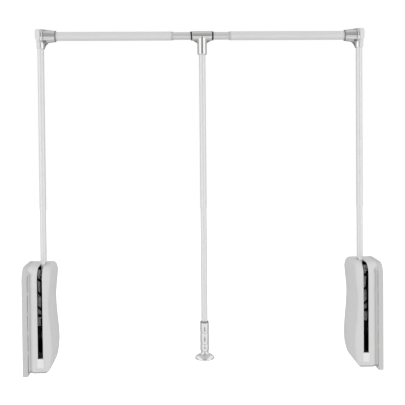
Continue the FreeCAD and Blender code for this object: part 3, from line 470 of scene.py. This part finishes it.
def turned(profile, at, along, closed, steps=72):
    """A shape turned about the Z or X axis, from (radius, height) points."""
    bm = bmesh.new()
    verts = [bm.verts.new((radius, 0, height)) for radius, height in profile]
    edges = [bm.edges.new(pair) for pair in zip(verts, verts[1:])]
    if closed:
        edges.append(bm.edges.new((verts[-1], verts[0])))
    bmesh.ops.spin(
        bm, geom=verts + edges, cent=(0, 0, 0), axis=(0, 0, 1), angle=2 * math.pi, steps=steps, use_merge=True
    )
    bmesh.ops.remove_doubles(bm, verts=bm.verts, dist=1e-6)
    bmesh.ops.recalc_face_normals(bm, faces=bm.faces)
    turn = Matrix.Rotation(math.pi / 2, 4, "Y") if along == "X" else Matrix()
    bmesh.ops.transform(bm, matrix=Matrix.Translation(at) @ turn, verts=bm.verts)
    return bm


def tube(radius, wall, start, long, along):
    profile = [(radius - wall, 0), (radius, 0), (radius, long), (radius - wall, long)]
    return turned(profile, start, along, True)


def merged_copy(node):
    """A copy of a solid's mesh, its triangles merged and its flat faces joined."""
    bm = bmesh.new()
    bm.from_mesh(frame["nodes"][node].data)
    bmesh.ops.remove_doubles(bm, verts=bm.verts, dist=1e-6)
    bmesh.ops.dissolve_limit(bm, angle_limit=math.radians(1), verts=bm.verts, edges=bm.edges)
    return bm


def dress_copy(node, body, slot, edge, finish=None):
    """A solid that only needs its edges rounded."""
    add_piece(node + "_shape", merged_copy(node), body, slot, [node], edge=edge, finish=finish)


def cast_copy(node, step, passes):
    """A copy of a solid with the soft inner corners of a casting."""
    return cast(merged_copy(node), step, passes)


def cast(bm, step, passes):
    """One skin round everything in bm, with the soft inner corners of a casting."""
    form = show(bpy.data.objects.new("casting", mesh_from(bm, "casting")))
    remesh = form.modifiers.new("Remesh", "REMESH")
    remesh.mode = "VOXEL"
    remesh.voxel_size = step
    smooth = form.modifiers.new("Smooth", "SMOOTH")
    smooth.iterations = passes
    smooth.factor = 0.5
    bpy.context.view_layer.update()
    graph = bpy.context.evaluated_depsgraph_get()
    skin = bpy.data.meshes.new_from_object(form.evaluated_get(graph))
    result = bmesh.new()
    result.from_mesh(skin)
    bpy.data.objects.remove(form)
    return result


# ---- Housings ----
def cover_reach(sizes, z):
    """The cover's inner side from the wall: a smooth line through its six measured places."""
    foot, top = COVER_LOW.z, COVER_HIGH.z
    places = [
        (foot, sizes.foot_reach),
        (-104 * MM, sizes.ankle_reach),
        (-62 * MM, sizes.belly_reach),
        (40 * MM, sizes.waist_reach),
        (top - 24.5 * MM, sizes.shoulder_reach),
        (top - sizes.crease, sizes.top_reach),
    ]
    z = min(max(z, foot), places[-1][0])
    last = len(places) - 1
    i = next(k for k in range(last) if z <= places[k + 1][0] + 1e-9)
    (z0, r0), (z1, r1) = places[i], places[i + 1]
    slopes = []
    for k in (i, i + 1):
        below, above = places[max(k - 1, 0)], places[min(k + 1, last)]
        slopes.append((above[1] - below[1]) / (above[0] - below[0]))
    span = z1 - z0
    u = (z - z0) / span
    start = r0 * (1 + 2 * u) * (1 - u) ** 2 + slopes[0] * span * u * (1 - u) ** 2
    return start + r1 * u * u * (3 - 2 * u) + slopes[1] * span * u * u * (u - 1)


def housing_outline(bm, sizes):
    """The housing's side outline as one face, its four corners rounded."""
    low, high = COVER_LOW, COVER_HIGH
    corners = (
        (low.y, low.z, sizes.small_round, 4),
        (high.y, low.z, sizes.back_round, 12),
        (high.y, high.z, sizes.crest_round, 12),
        (low.y, high.z, sizes.top_round, 12),
    )
    verts = [bm.verts.new((sizes.seam_at, y, z)) for y, z, _, _ in corners]
    bm.faces.new(verts)
    for vert, (_, _, radius, segments) in zip(verts, corners):
        soften(bm, [vert], radius, segments, "VERTICES")


def bisect(bm, axis, level):
    """Cut every face where it crosses a level along an axis."""
    geom = bm.verts[:] + bm.edges[:] + bm.faces[:]
    normal = Vector([float(axis == each) for each in "xyz"])
    bmesh.ops.bisect_plane(bm, geom=geom, plane_co=normal * level, plane_no=normal, dist=1e-6)


def cover_shell():
    """The cover: waved inner side, rounded crease, a fall towards the seam, and the lever's slot."""
    sizes = bpy.context.scene.rod_housing
    side = sizes.waist_reach
    bm = bmesh.new()
    housing_outline(bm, sizes)
    round_crease(bm, sizes, side)
    bmesh.ops.recalc_face_normals(bm, faces=bm.faces)
    across, upwards = 8, 40
    for i in range(1, across + 1):
        bisect(bm, "x", sizes.seam_at + sizes.hollow_width * (i / across) ** 1.6)
    for i in range(1, upwards):
        bisect(bm, "z", COVER_LOW.z + (COVER_HIGH.z - COVER_LOW.z) * i / upwards)
    hollow_beside_seam(bm, sizes)
    for vert in bm.verts:
        if vert.co.x > side - sizes.crease - 1e-6:
            vert.co.x += cover_reach(sizes, vert.co.z) - side
    groove_foot(bm, sizes)
    open_slot(bm, sizes)
    add_skirt(bm, sizes)
    bmesh.ops.recalc_face_normals(bm, faces=bm.faces)
    return bm


def round_crease(bm, sizes, side):
    """Extrude the outline across to the side, its last part in steps that round the crease."""
    half = COVER_HALF
    cap = bm.faces[:]
    at, drawn, shrunk = sizes.seam_at, 0.0, 0.0
    steps = 10
    for k in range(steps + 1):
        angle = math.pi / 2 * k / steps
        back = sizes.crease_depth * (1 - math.cos(angle))
        inset = sizes.crease * (1 - math.cos(angle))
        x = side - sizes.crease * (1 - math.sin(angle))
        grown = bmesh.ops.extrude_face_region(bm, geom=cap)["geom"]
        if k:
            bmesh.ops.delete(bm, geom=cap, context="FACES_ONLY")
        moved, cap = only(BMVert, grown), only(BMFace, grown)
        size = (1, (half.y - back) / (half.y - drawn), (half.z - inset) / (half.z - shrunk))
        bmesh.ops.scale(bm, vec=size, space=Matrix.Translation(-COVER_MIDDLE), verts=moved)
        bmesh.ops.translate(bm, vec=(x - at, 0, 0), verts=moved)
        at, drawn, shrunk = x, back, inset


def groove_foot(bm, sizes):
    """A fine groove across the face, just above the cover's foot."""
    levels = [COVER_LOW.z + rise * MM for rise in (1.7, 2.0, 4.2, 4.5)]
    for z in levels:
        bisect(bm, "z", z)
    for vert in bm.verts:
        if levels[1] - 1e-6 < vert.co.z < levels[2] + 1e-6 and vert.co.y < COVER_LOW.y + sizes.hollow_depth:
            vert.co.y += sizes.foot_groove


def move_inward(verts, depths, whole=True):
    """Move points of the outline in by their own depths; unless whole, those of the foot stay level."""
    middle, half = COVER_MIDDLE, COVER_HALF
    for vert, depth in zip(verts, depths):
        vert.co.y = middle.y + (vert.co.y - middle.y) * (1 - depth / half.y)
        if vert.co.z > middle.z or whole:
            vert.co.z = middle.z + (vert.co.z - middle.z) * (1 - depth / half.z)


def eased(share):
    share = min(1.0, max(0.0, share))
    return share * share * (3 - 2 * share)


def seam_fade(sizes, z):
    """1 along the face, falling to 0 at the top, where the seam closes."""
    return eased((COVER_HIGH.z - sizes.seam_top - z) / sizes.seam_ease)


def hollow_beside_seam(bm, sizes):
    """A lip along the seam, and a hollow that rises from it to the face."""
    verts, depths = [], []
    lip = 0.11
    for vert in bm.verts:
        share = (vert.co.x - sizes.seam_at) / sizes.hollow_width
        if share < 1 - 1e-6:
            down = eased((share - lip) / (1.4 * lip))
            up = 1 - eased((share - 2.4 * lip) / (1 - 2.4 * lip))
            depth = sizes.seam_lip * up + (sizes.hollow_depth - sizes.seam_lip) * down * up
            verts.append(vert)
            depths.append(depth * seam_fade(sizes, vert.co.z))
    move_inward(verts, depths, whole=False)


def close_seam_on_top(bm, sizes):
    """Bring the cover's edge to the wall plate where the seam fades out."""
    rim = PLATE_RIM + 0.05 * MM
    for vert in bm.verts:
        if abs(vert.co.x - sizes.seam_at) < 1e-5:
            vert.co.x += (rim - sizes.seam_at) * (1 - seam_fade(sizes, vert.co.z))


def open_slot(bm, sizes):
    """Open the lever's slot up the face and over the top, and the bumper's place below it."""
    slot_foot = BUMPER_HIGH.z
    seat_foot = slot_foot - BUMPER_SIZE.z
    half = sizes.slot_width / 2
    seat = BUMPER_SIZE.x / 2
    for x in (ARM_X - seat, ARM_X - half, ARM_X + half, ARM_X + seat):
        bisect(bm, "x", x)
    bisect(bm, "z", slot_foot)
    bisect(bm, "z", seat_foot)
    bisect(bm, "y", sizes.slot_tail)
    bm.normal_update()
    gone = []
    for face in bm.faces:
        centre = face.calc_center_median()
        across = abs(centre.x - ARM_X)
        front = face.normal.y < -0.3
        top = face.normal.z > 0.3
        slot = across < half and ((front and centre.z > slot_foot) or (top and centre.y < sizes.slot_tail))
        pocket = across < seat and front and seat_foot < centre.z < slot_foot
        if slot or pocket:
            gone.append(face)
    bmesh.ops.delete(bm, geom=gone, context="FACES")


def add_skirt(bm, sizes):
    """Open the cover at the wall plate, and let its edge reach into the plate as a skirt."""
    seam = sizes.seam_at
    flat = [face for face in bm.faces if all(abs(vert.co.x - seam) < 1e-5 for vert in face.verts)]
    bmesh.ops.delete(bm, geom=flat, context="FACES")
    rim = [e for e in bm.edges if e.is_boundary and all(abs(v.co.x - seam) < 1e-5 for v in e.verts)]
    for inward, along in ((sizes.groove, 0.0), (0.0, sizes.skirt)):
        grown = bmesh.ops.extrude_edge_only(bm, edges=rim)["geom"]
        moved = only(BMVert, grown)
        rim = [edge for edge in only(BMEdge, grown) if edge.is_boundary]
        move_inward(moved, [inward] * len(moved))
        bmesh.ops.translate(bm, vec=(-along, 0, 0), verts=moved)
    close_seam_on_top(bm, sizes)


def make_covers():
    sizes = bpy.context.scene.rod_housing
    add_both(cover_shell, "cover_shell", "housing", "housing_plastic", "cover")
    for side in SIDES:
        piece = bpy.data.objects[f"{side}_cover_shell"]
        wall = piece.modifiers.new("Wall", "SOLIDIFY")
        wall.thickness = sizes.wall
        wall.offset = -1
        round_edges(piece, "Lips", sizes.lip, 50)


def bumper_block():
    """Soft block in the seat below the slot."""
    sizes = bpy.context.scene.rod_housing
    bm = bmesh.new()
    size = BUMPER_SIZE
    centre = Vector((ARM_X, BUMPER_LOW.y + size.y / 2, BUMPER_HIGH.z - size.z / 2))
    bmesh.ops.create_cube(bm, size=1.0, matrix=Matrix.Translation(centre) @ Matrix.Diagonal((*size, 1)))
    soften(bm, bm.edges[:], sizes.bumper_round, 4, "EDGES")
    return bm


def spring_coil():
    """Flat wire wound by a spin that rises: closed end turns, open turns between, eased into each other."""
    sizes = bpy.context.scene.rod_housing
    low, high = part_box("left_lift_spring")
    thick, tall = sizes.wire_thick, sizes.wire_height
    centre = Vector(((low.x + high.x) / 2, 0, low.z + tall / 2))
    radius = (high.x - low.x - thick) / 2
    closed = tall + 0.3 * MM
    ease, turns, steps_round = 0.25, 2, 40
    rise = (high.z - low.z - tall - 2 * closed) / turns
    bm = bmesh.new()
    place = Matrix.Translation(centre + Vector((radius, 0, 0))) @ Matrix.Rotation(math.pi / 2, 4, "X")
    flat = place @ Matrix.Diagonal((thick / 2, tall / 2, 1, 1))
    bmesh.ops.create_circle(bm, cap_ends=True, segments=16, radius=1.0, matrix=flat)
    geom = bm.verts[:] + bm.edges[:] + bm.faces[:]
    middle = (closed + rise) / 2
    open_rise = rise - 2 * ease * (middle - closed) / turns
    stages = [(1 - ease, closed), (ease, middle), (turns, open_rise), (ease, middle), (1 - ease, closed)]
    for count, each in stages:
        steps = round(steps_round * count)
        wound = bmesh.ops.spin(
            bm,
            geom=geom,
            cent=centre,
            axis=(0, 0, 1),
            dvec=(0, 0, each * count / steps),
            angle=-2 * math.pi * count,
            steps=steps,
            use_merge=False,
        )
        geom = wound["geom_last"]
    bmesh.ops.recalc_face_normals(bm, faces=bm.faces)
    return bm


def make_springs():
    add_both(spring_coil, "spring_coil", "housing", "spring_steel", "lift_spring")
    for side in SIDES:
        piece = bpy.data.objects[f"{side}_spring_coil"]
        low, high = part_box(f"{side}_lift_spring")
        joint = next(j for j in frame["joints"] if j["name"] == f"{side}_plunger_slide")
        keep = 1 - joint["range_m"][1] / (high.z - low.z)
        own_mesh(piece)


def finish_inner_parts():
    """Give each solid that is shown as it is the finish of its slot."""
    for row in frame["record"]["subparts"]:
        node = frame["nodes"][row["node"]]
        if not node.hide_render:
            node.data.materials.clear()
            node.data.materials.append(finish_for(row["material_slot"]))


# ---- Arms and rail ----
def arm_tube():
    sizes = bpy.context.scene.rod_fittings
    start = (ARM_X, 0, ARM_LOW.z)
    return tube((ARM_HIGH.x - ARM_LOW.x) / 2, sizes.arm_wall, start, ARM_HIGH.z - ARM_LOW.z, "Z")


def make_corner_fittings():
    step = bpy.context.scene.rod_fittings.casting_grain
    for side in SIDES:
        node = f"{side}_corner_fitting"
        form = cast_copy(node, step, 5)
        add_piece(node + "_casting", form, f"{side}_arm", "chrome", [node], finish="chrome_corner")
        node = f"{side}_corner_cap"
        add_piece(node + "_shell", cast_copy(node, step, 10), f"{side}_arm", "cap_plastic", [node])


def outer_rod():
    sizes = bpy.context.scene.rod_fittings
    start = (ROD_LOW.x, 0, ROD_Z)
    return tube((ROD_HIGH.z - ROD_LOW.z) / 2, sizes.rail_wall, start, ROD_HIGH.x - ROD_LOW.x, "X")


def rod_bush():
    """Tapered collar at the outer tube's end, with a sleeve inside the tube."""
    low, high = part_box("left_rod_bush")
    reach = high.x - ROD_HIGH.x
    sleeve = ROD_HIGH.x - low.x
    bore = 9.56 * MM
    outside = (ROD_HIGH.z - ROD_LOW.z) / 2
    profile = [
        (bore, 0),
        (outside - 1.05 * MM, 0),
        (outside - 1.05 * MM, sleeve),
        (outside, sleeve),
        (outside, sleeve + 0.25 * reach),
        (outside - 0.5 * MM, sleeve + 0.4 * reach),
        (bore + 0.7 * MM, sleeve + 0.92 * reach),
        (bore + 0.4 * MM, sleeve + reach),
        (bore, sleeve + reach),
    ]
    return turned(profile, (low.x, 0, ROD_Z), "X", True)


def make_rail():
    sizes = bpy.context.scene.rod_fittings
    add_both(outer_rod, "outer_rod_tube", "arm", "satin_rail", "outer_rod", edge=sizes.tube_edge)
    look = {"edge": 0.2 * MM, "finish": "bush_plastic"}
    add_both(rod_bush, "rod_bush_collar", "arm", "cap_plastic", "rod_bush", **look)
    low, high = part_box("inner_rod")
    bm = tube((high.z - low.z) / 2, sizes.inner_wall, (low.x, 0, ROD_Z), high.x - low.x, "X")
    look = {"edge": sizes.tube_edge, "finish": "inner_rail"}
    add_piece("inner_rod_tube", bm, "centre_rail", "satin_rail", ["inner_rod"], **look)


def grub_screw(node):
    """Headless screw with a hexagon socket, its axis along Y."""
    low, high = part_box(node)
    radius = (high.x - low.x) / 2
    bm = bmesh.new()
    place = Matrix.Translation(((low.x + high.x) / 2, low.y, (low.z + high.z) / 2))
    turn = Matrix.Rotation(-math.pi / 2, 4, "X")
    bmesh.ops.create_circle(bm, cap_ends=True, segments=24, radius=radius)
    grown = bmesh.ops.extrude_face_region(bm, geom=bm.faces[:])["geom"]
    long = high.y - low.y
    bmesh.ops.translate(bm, vec=(0, 0, long), verts=only(BMVert, grown))
    top = only(BMFace, grown)
    rim = [edge for face in top for edge in face.edges]
    bmesh.ops.delete(bm, geom=top, context="FACES_ONLY")
    end = Matrix.Translation((0, 0, long))
    ring = bmesh.ops.create_circle(bm, segments=6, radius=0.55 * radius, matrix=end)["verts"]
    socket = list({edge for vert in ring for edge in vert.link_edges})
    bmesh.ops.bridge_loops(bm, edges=rim + socket)
    walls = bmesh.ops.extrude_edge_only(bm, edges=socket)["geom"]
    sunk = only(BMVert, walls)
    bmesh.ops.translate(bm, vec=(0, 0, -0.45 * long), verts=sunk)
    bmesh.ops.contextual_create(bm, geom=sunk)
    bmesh.ops.recalc_face_normals(bm, faces=bm.faces)
    bmesh.ops.transform(bm, matrix=place @ turn, verts=bm.verts)
    return bm


def make_grub_screws():
    for node, body in (
        ("left_corner_grub", "left_arm"),
        ("right_corner_grub", "right_arm"),
        ("tee_grub", "pull_handle"),
    ):
        add_piece(node + "_screw", grub_screw(node), body, "black_steel", [node], edge=0.15 * MM)


# ---- Tee and handle ----
def make_tee():
    """The tee with its two webs; its neck runs straight down to its foot."""
    sizes = bpy.context.scene.rod_fittings
    bm = merged_copy("tee_fitting")
    copy = bmesh.ops.duplicate(bm, geom=bm.verts[:] + bm.edges[:] + bm.faces[:])["geom"]
    bmesh.ops.scale(bm, vec=(-1, 1, 1), space=Matrix.Translation((-TEE_X, 0, 0)), verts=only(BMVert, copy))
    bmesh.ops.reverse_faces(bm, faces=only(BMFace, copy))
    bore, radius = 8.25 * MM, 11.5 * MM
    foot = tube(radius, radius - bore, (TEE_X, 0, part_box("tee_fitting")[0].z), sizes.neck_foot, "Z")
    bm.from_mesh(mesh_from(foot, "foot"))
    form = cast(bm, sizes.casting_grain, 5)
    add_piece("tee_casting", form, "pull_handle", "chrome", ["tee_fitting"], finish="chrome_tee")
    make_tee_rings()


def make_tee_rings():
    """Two rubber rings, grooved; the left one sits slightly askew."""
    low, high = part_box("tee_rings")
    outside = (high.z - low.z) / 2
    bore, thick = 9.52 * MM, 3.6 * MM
    groove = outside - bpy.context.scene.rod_fittings.ring_groove
    profile = [
        (bore, 0),
        (outside - 0.3 * MM, 0),
        (outside, 0.5 * MM),
        (outside, thick * 0.36),
        (groove, thick * 0.44),
        (groove, thick * 0.56),
        (outside, thick * 0.64),
        (outside, thick - 0.5 * MM),
        (outside - 0.3 * MM, thick),
        (bore, thick),
    ]
    rings = (("left_tee_ring", low.x, -5.0, ["tee_rings"]), ("right_tee_ring", high.x - thick, 0.0, []))
    for name, start, tilt, stands_for in rings:
        bm = turned(profile, (-thick / 2, 0, 0), "X", True)
        lean = Matrix.Rotation(math.radians(tilt), 4, "Y")
        bmesh.ops.transform(bm, matrix=lean, verts=bm.verts)
        bmesh.ops.translate(bm, vec=(start + thick / 2, 0, ROD_Z), verts=bm.verts)
        add_piece(name, bm, "centre_rail", "ring_rubber", stands_for, edge=0.2 * MM)


def grip_profile(sizes, low, high, bore, radius):
    """Three swelled lengths between grooves, the lowest one shorter, and a small collar at the top."""
    groove = sizes.grip_groove
    collar = 4.2 * MM
    room = high - low - collar - 2 * groove
    base = radius - sizes.grip_bulge
    deep = base - sizes.groove_depth
    profile = [(bore, low)]
    start = low
    steps = 10
    for share in (0.24, 0.385, 0.375):
        each = room * share
        for k in range(steps + 1):
            swell = sizes.grip_bulge * math.sin(math.pi * k / steps) ** 0.6
            profile.append((base + swell, start + each * k / steps))
        start += each
        profile.append((deep, start + 0.15 * groove))
        profile.append((deep, start + 0.85 * groove))
        start += groove
    profile[-1] = (deep, start)
    profile += [(base - 0.4 * MM, start + 0.4 * MM), (base - 0.7 * MM, high - 0.6 * MM)]
    profile += [(bore + 0.6 * MM, high), (bore, high)]
    return profile


def disc_profile(sizes, tall, outside, bore):
    """Disc that swells from its rolled rim to a narrow collar above it."""
    rim, root, collar, hole = 2.2 * MM, 11.1 * MM, 10 * MM, 5 * MM
    flare = tall - 7.2 * MM
    profile = [(0, 0), (outside - rim, 0), (outside - 0.9 * MM, 0.3 * MM), (outside - 0.2 * MM, 0.9 * MM)]
    steps = 14
    for k in range(steps + 1):
        share = k / steps
        swell = 4 * sizes.disc_dome * share * (1 - share)
        radius = outside - share * (outside - root) + swell
        profile.append((radius, rim + share * (flare - rim)))
    profile += [(collar + 0.3 * MM, flare + 1.4 * MM), (collar, flare + 2.2 * MM), (collar, tall - 0.8 * MM)]
    profile += [(collar - 0.8 * MM, tall), (bore, tall), (bore, hole), (0, hole)]
    return profile


def make_handle():
    sizes = bpy.context.scene.rod_fittings
    low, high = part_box("handle_tube")
    bm = tube((high.x - low.x) / 2, sizes.inner_wall, (TEE_X, 0, low.z), high.z - low.z, "Z")
    add_piece("handle_tube_shape", bm, "pull_handle", "arm_paint", ["handle_tube"], edge=sizes.tube_edge)
    bore = (high.x - low.x) / 2 + 0.02 * MM
    low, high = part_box("handle_grip")
    profile = grip_profile(sizes, low.z, high.z, bore, (high.x - low.x) / 2)
    bm = turned(profile, (TEE_X, 0, 0), "Z", True)
    look = {"edge": 0.25 * MM, "finish": "chrome_grip"}
    add_piece("handle_grip_sleeve", bm, "pull_handle", "chrome", ["handle_grip"], **look)
    low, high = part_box("grip_disc")
    profile = disc_profile(sizes, high.z - low.z, (high.x - low.x) / 2, bore)
    bm = turned(profile, (TEE_X, 0, low.z), "Z", False)
    look = {"edge": 0.2 * MM, "finish": "chrome_disc"}
    add_piece("grip_disc_flare", bm, "pull_handle", "chrome", ["grip_disc"], **look)


# ---- Studio ----
def make_camera():
    """Camera in front, a little above the housings, turned and tipped slightly."""
    yaw, tip, roll = -0.0367, -0.0253, -0.0088
    place = Matrix.Translation((0.3706, -1.8713, 0.4506))
    level = Matrix.Rotation(yaw, 4, "Z") @ Matrix.Rotation(math.pi / 2 + tip, 4, "X")
    camera = show(bpy.data.objects.new("camera", bpy.data.cameras.new("camera")))
    camera.data.sensor_width = 36
    camera.data.lens = 66.88
    camera.data.shift_y = -0.1219
    camera.data.clip_start = 0.05
    camera.matrix_world = place @ level @ Matrix.Rotation(roll, 4, "Z")
    bpy.context.scene.camera = camera


def make_lamp(name, power, size, place):
    """A square lamp, turned to the middle of the part."""
    lamp = show(bpy.data.objects.new(name, bpy.data.lights.new(name, "AREA")))
    lamp.data.energy = power
    lamp.data.shape = "SQUARE"
    lamp.data.size = size
    lamp.visible_glossy = False
    lamp.location = place
    lamp.rotation_euler = (Vector((MIDDLE, 0, 0.3)) - Vector(place)).to_track_quat("-Z", "Y").to_euler()


def make_floor():
    """Pale floor below the part: white to the camera, with the part's shadow. Reflections see it
    grey near the part, paler further in front, and darker in a patch that the grip mirrors."""
    bm = bmesh.new()
    place = Matrix.Translation((MIDDLE, 0, FLOOR_Z))
    bmesh.ops.create_grid(bm, x_segments=2, y_segments=2, size=9, matrix=place)
    floor = show(bpy.data.objects.new("floor", mesh_from(bm, "floor")))
    finish = new_finish("pale_floor")
    nodes = finish.tree.nodes
    nodes.remove(nodes["Principled BSDF"])
    diffuse = finish.node("ShaderNodeBsdfDiffuse", sockets={"Color": (0.8, 0.8, 0.8, 1)})
    direct = ray_is(finish, "Camera", "Transmission")
    glow = finish.node("ShaderNodeEmission", sockets={"Strength": direct * 0.6})
    seen = finish.node("ShaderNodeAddShader", sockets={0: diffuse, 1: glow})
    x, y, _ = finish.axes()
    grey = finish.blend(0.6, finish.smooth(-y, 0.35, 1.1), 0.95)
    across = 1 - finish.smooth(abs(x - TEE_X), 0.35, 1.0)
    along = finish.smooth(-y, 1.5, 1.8) * (1 - finish.smooth(-y, 2.4, 2.7))
    grey = finish.blend(grey, across * along, 0.42)
    colour_seen = finish.between(grey, (0, 0, 0), (1, 1, 1))
    mirrored = finish.node("ShaderNodeEmission", sockets={"Color": colour_seen})
    both = finish.node("ShaderNodeMixShader", sockets={0: ray_is(finish, "Glossy"), 1: seen, 2: mirrored})
    finish.feed(nodes["Material Output"].inputs["Surface"], both)
    floor.data.materials.append(finish.data)


def ray_is(finish, *kinds):
    """1 for rays of one of these kinds."""
    total = 0.0
    for kind in kinds:
        total = total + finish.node("ShaderNodeLightPath", output=f"Is {kind} Ray")
    return finish.maths("MINIMUM", total, 1.0)


def make_world(ambient):
    """White all round, a little brighter above. Reflections see it as a studio: greyer behind and
    above, with a dark strip low in front and bright places high at the sides."""
    bpy.context.scene.world = bpy.data.worlds.new("studio")
    finish = Finish(bpy.context.scene.world)
    x, y, z = finish.axes("Generated")
    aside = abs(x)
    front = finish.smooth(-y, -0.1, 0.35)
    level = finish.blend(1.2, finish.smooth(y, -0.4, 0.05), 0.52)
    ceiling = finish.smooth(z, 0.08, 0.34) * front * (1 - finish.smooth(aside, 0.3, 0.55))
    level = finish.blend(level, ceiling, 0.42)
    level = finish.blend(level, finish.smooth(z, 0.7, 0.95), 0.64)
    low_down = finish.smooth(z, -0.42, -0.3) * (1 - finish.smooth(z, 0.1, 0.3))
    strip = (1 - finish.smooth(aside, 0.28, 0.5)) * low_down
    level = finish.blend(level, strip * front, 0.26)
    level = finish.blend(level, finish.smooth(z, 0.2, 0.45) * finish.smooth(aside, 0.42, 0.6), 1.1)
    glossy = ray_is(finish, "Glossy")
    seen = ray_is(finish, "Camera", "Transmission")
    around = finish.smooth(z, 0.2, 0.8) * (0.3 * ambient) + ambient
    lit = finish.blend(finish.blend(around, glossy, level), seen, 1.0)
    sky = finish.tree.nodes["Background"]
    finish.feed(sky.inputs["Color"], (1, 1, 1, 1))
    finish.feed(sky.inputs["Strength"], lit)


# ---- Operators ----
class CLOSET_ROD_OT_stage(bpy.types.Operator):
    """Make the camera, floor, lamps and world."""

    bl_idname = "closet_rod.stage"
    bl_label = "Studio"

    def execute(self, context):
        studio = context.scene.rod_studio
        context.scene.view_settings.view_transform = "Standard"
        make_camera()
        make_floor()
        make_world(studio.ambient)
        make_lamp("front_lamp", studio.front, 0.8, (MIDDLE, -2.6, 0.3))
        for name, way in (("left_lamp", -1), ("right_lamp", 1)):
            make_lamp(name, studio.side, 1.2, (MIDDLE + way * 1.34, -0.9, 0.35))
        return {"FINISHED"}


class CLOSET_ROD_OT_wall_plates(bpy.types.Operator):
    """Make the wall plates and the cover clips."""

    bl_idname = "closet_rod.wall_plates"
    bl_label = "Wall plates"

    def execute(self, context):
        edge = context.scene.rod_housing.plate_edge
        for side in SIDES:
            body = f"{side}_housing"
            dress_copy(f"{side}_wall_plate", body, "housing_plastic", edge, "plate_plastic")
            dress_copy(f"{side}_cover_clips", body, "housing_plastic", 0.3 * MM)
        return {"FINISHED"}


class CLOSET_ROD_OT_covers(bpy.types.Operator):
    """Make the two covers with their slots."""

    bl_idname = "closet_rod.covers"
    bl_label = "Covers"

    def execute(self, context):
        make_covers()
        return {"FINISHED"}


class CLOSET_ROD_OT_bumpers(bpy.types.Operator):
    """Make the bumpers at the slots' feet."""

    bl_idname = "closet_rod.bumpers"
    bl_label = "Bumpers"

    def execute(self, context):
        add_both(bumper_block, "bumper_block", "housing", "bumper_plastic", "bumper")
        return {"FINISHED"}


class CLOSET_ROD_OT_springs(bpy.types.Operator):
    """Wind the lift springs."""

    bl_idname = "closet_rod.springs"
    bl_label = "Springs"

    def execute(self, context):
        make_springs()
        return {"FINISHED"}


class CLOSET_ROD_OT_arm_tubes(bpy.types.Operator):
    """Make the arm tubes."""

    bl_idname = "closet_rod.arm_tubes"
    bl_label = "Arm tubes"

    def execute(self, context):
        edge = context.scene.rod_fittings.tube_edge
        add_both(arm_tube, "arm_tube_shape", "arm", "arm_paint", "arm_tube", edge=edge)
        return {"FINISHED"}


class CLOSET_ROD_OT_corners(bpy.types.Operator):
    """Make the corner fittings and their caps."""

    bl_idname = "closet_rod.corners"
    bl_label = "Corners"

    def execute(self, context):
        make_corner_fittings()
        return {"FINISHED"}


class CLOSET_ROD_OT_rail(bpy.types.Operator):
    """Make the rail's tubes and bushes."""

    bl_idname = "closet_rod.rail"
    bl_label = "Rail"

    def execute(self, context):
        make_rail()
        return {"FINISHED"}


class CLOSET_ROD_OT_grub_screws(bpy.types.Operator):
    """Make the grub screws."""

    bl_idname = "closet_rod.grub_screws"
    bl_label = "Grub screws"

    def execute(self, context):
        make_grub_screws()
        return {"FINISHED"}


class CLOSET_ROD_OT_tee(bpy.types.Operator):
    """Make the tee and its rings."""

    bl_idname = "closet_rod.tee"
    bl_label = "Tee"

    def execute(self, context):
        make_tee()
        return {"FINISHED"}


class CLOSET_ROD_OT_handle(bpy.types.Operator):
    """Make the handle's tube, grip and disc."""

    bl_idname = "closet_rod.handle"
    bl_label = "Handle"

    def execute(self, context):
        make_handle()
        return {"FINISHED"}


class CLOSET_ROD_OT_inner_parts(bpy.types.Operator):
    """Finish the solids that are shown as they are."""

    bl_idname = "closet_rod.inner_parts"
    bl_label = "Inner parts"

    def execute(self, context):
        finish_inner_parts()
        return {"FINISHED"}


OPERATORS = (
    CLOSET_ROD_OT_stage,
    CLOSET_ROD_OT_wall_plates,
    CLOSET_ROD_OT_covers,
    CLOSET_ROD_OT_bumpers,
    CLOSET_ROD_OT_springs,
    CLOSET_ROD_OT_arm_tubes,
    CLOSET_ROD_OT_corners,
    CLOSET_ROD_OT_rail,
    CLOSET_ROD_OT_grub_screws,
    CLOSET_ROD_OT_tee,
    CLOSET_ROD_OT_handle,
    CLOSET_ROD_OT_inner_parts,
)


class CLOSET_ROD_PT_panel(bpy.types.Panel):
    """Lists the steps and the sizes of the closet rod."""

    bl_idname = "CLOSET_ROD_PT_panel"
    bl_label = "Closet Rod"
    bl_space_type = "VIEW_3D"
    bl_region_type = "UI"
    bl_category = "Closet Rod"

    def draw(self, context):
        for group in PROPERTIES:
            box = self.layout.box()
            for name in PROPERTIES[group].__annotations__:
                box.prop(getattr(context.scene, group), name)
        for made in OPERATORS:
            self.layout.operator(made.bl_idname)


PROPERTIES = {
    "rod_housing": HousingSizes,
    "rod_fittings": FittingSizes,
    "rod_colours": FinishColours,
    "rod_studio": StudioSettings,
}


def register():
    for group, kind in PROPERTIES.items():
        bpy.utils.register_class(kind)
        setattr(bpy.types.Scene, group, PointerProperty(type=kind))
    for made in OPERATORS:
        bpy.utils.register_class(made)
    bpy.utils.register_class(CLOSET_ROD_PT_panel)


def unregister():
    bpy.utils.unregister_class(CLOSET_ROD_PT_panel)
    for made in reversed(OPERATORS):
        bpy.utils.unregister_class(made)
    for group, kind in PROPERTIES.items():
        delattr(bpy.types.Scene, group)
        bpy.utils.unregister_class(kind)


def main():
    register()
    for made in OPERATORS:
        getattr(bpy.ops.closet_rod, made.bl_idname.split(".")[1])()


if __name__ == "__main__":
    main()
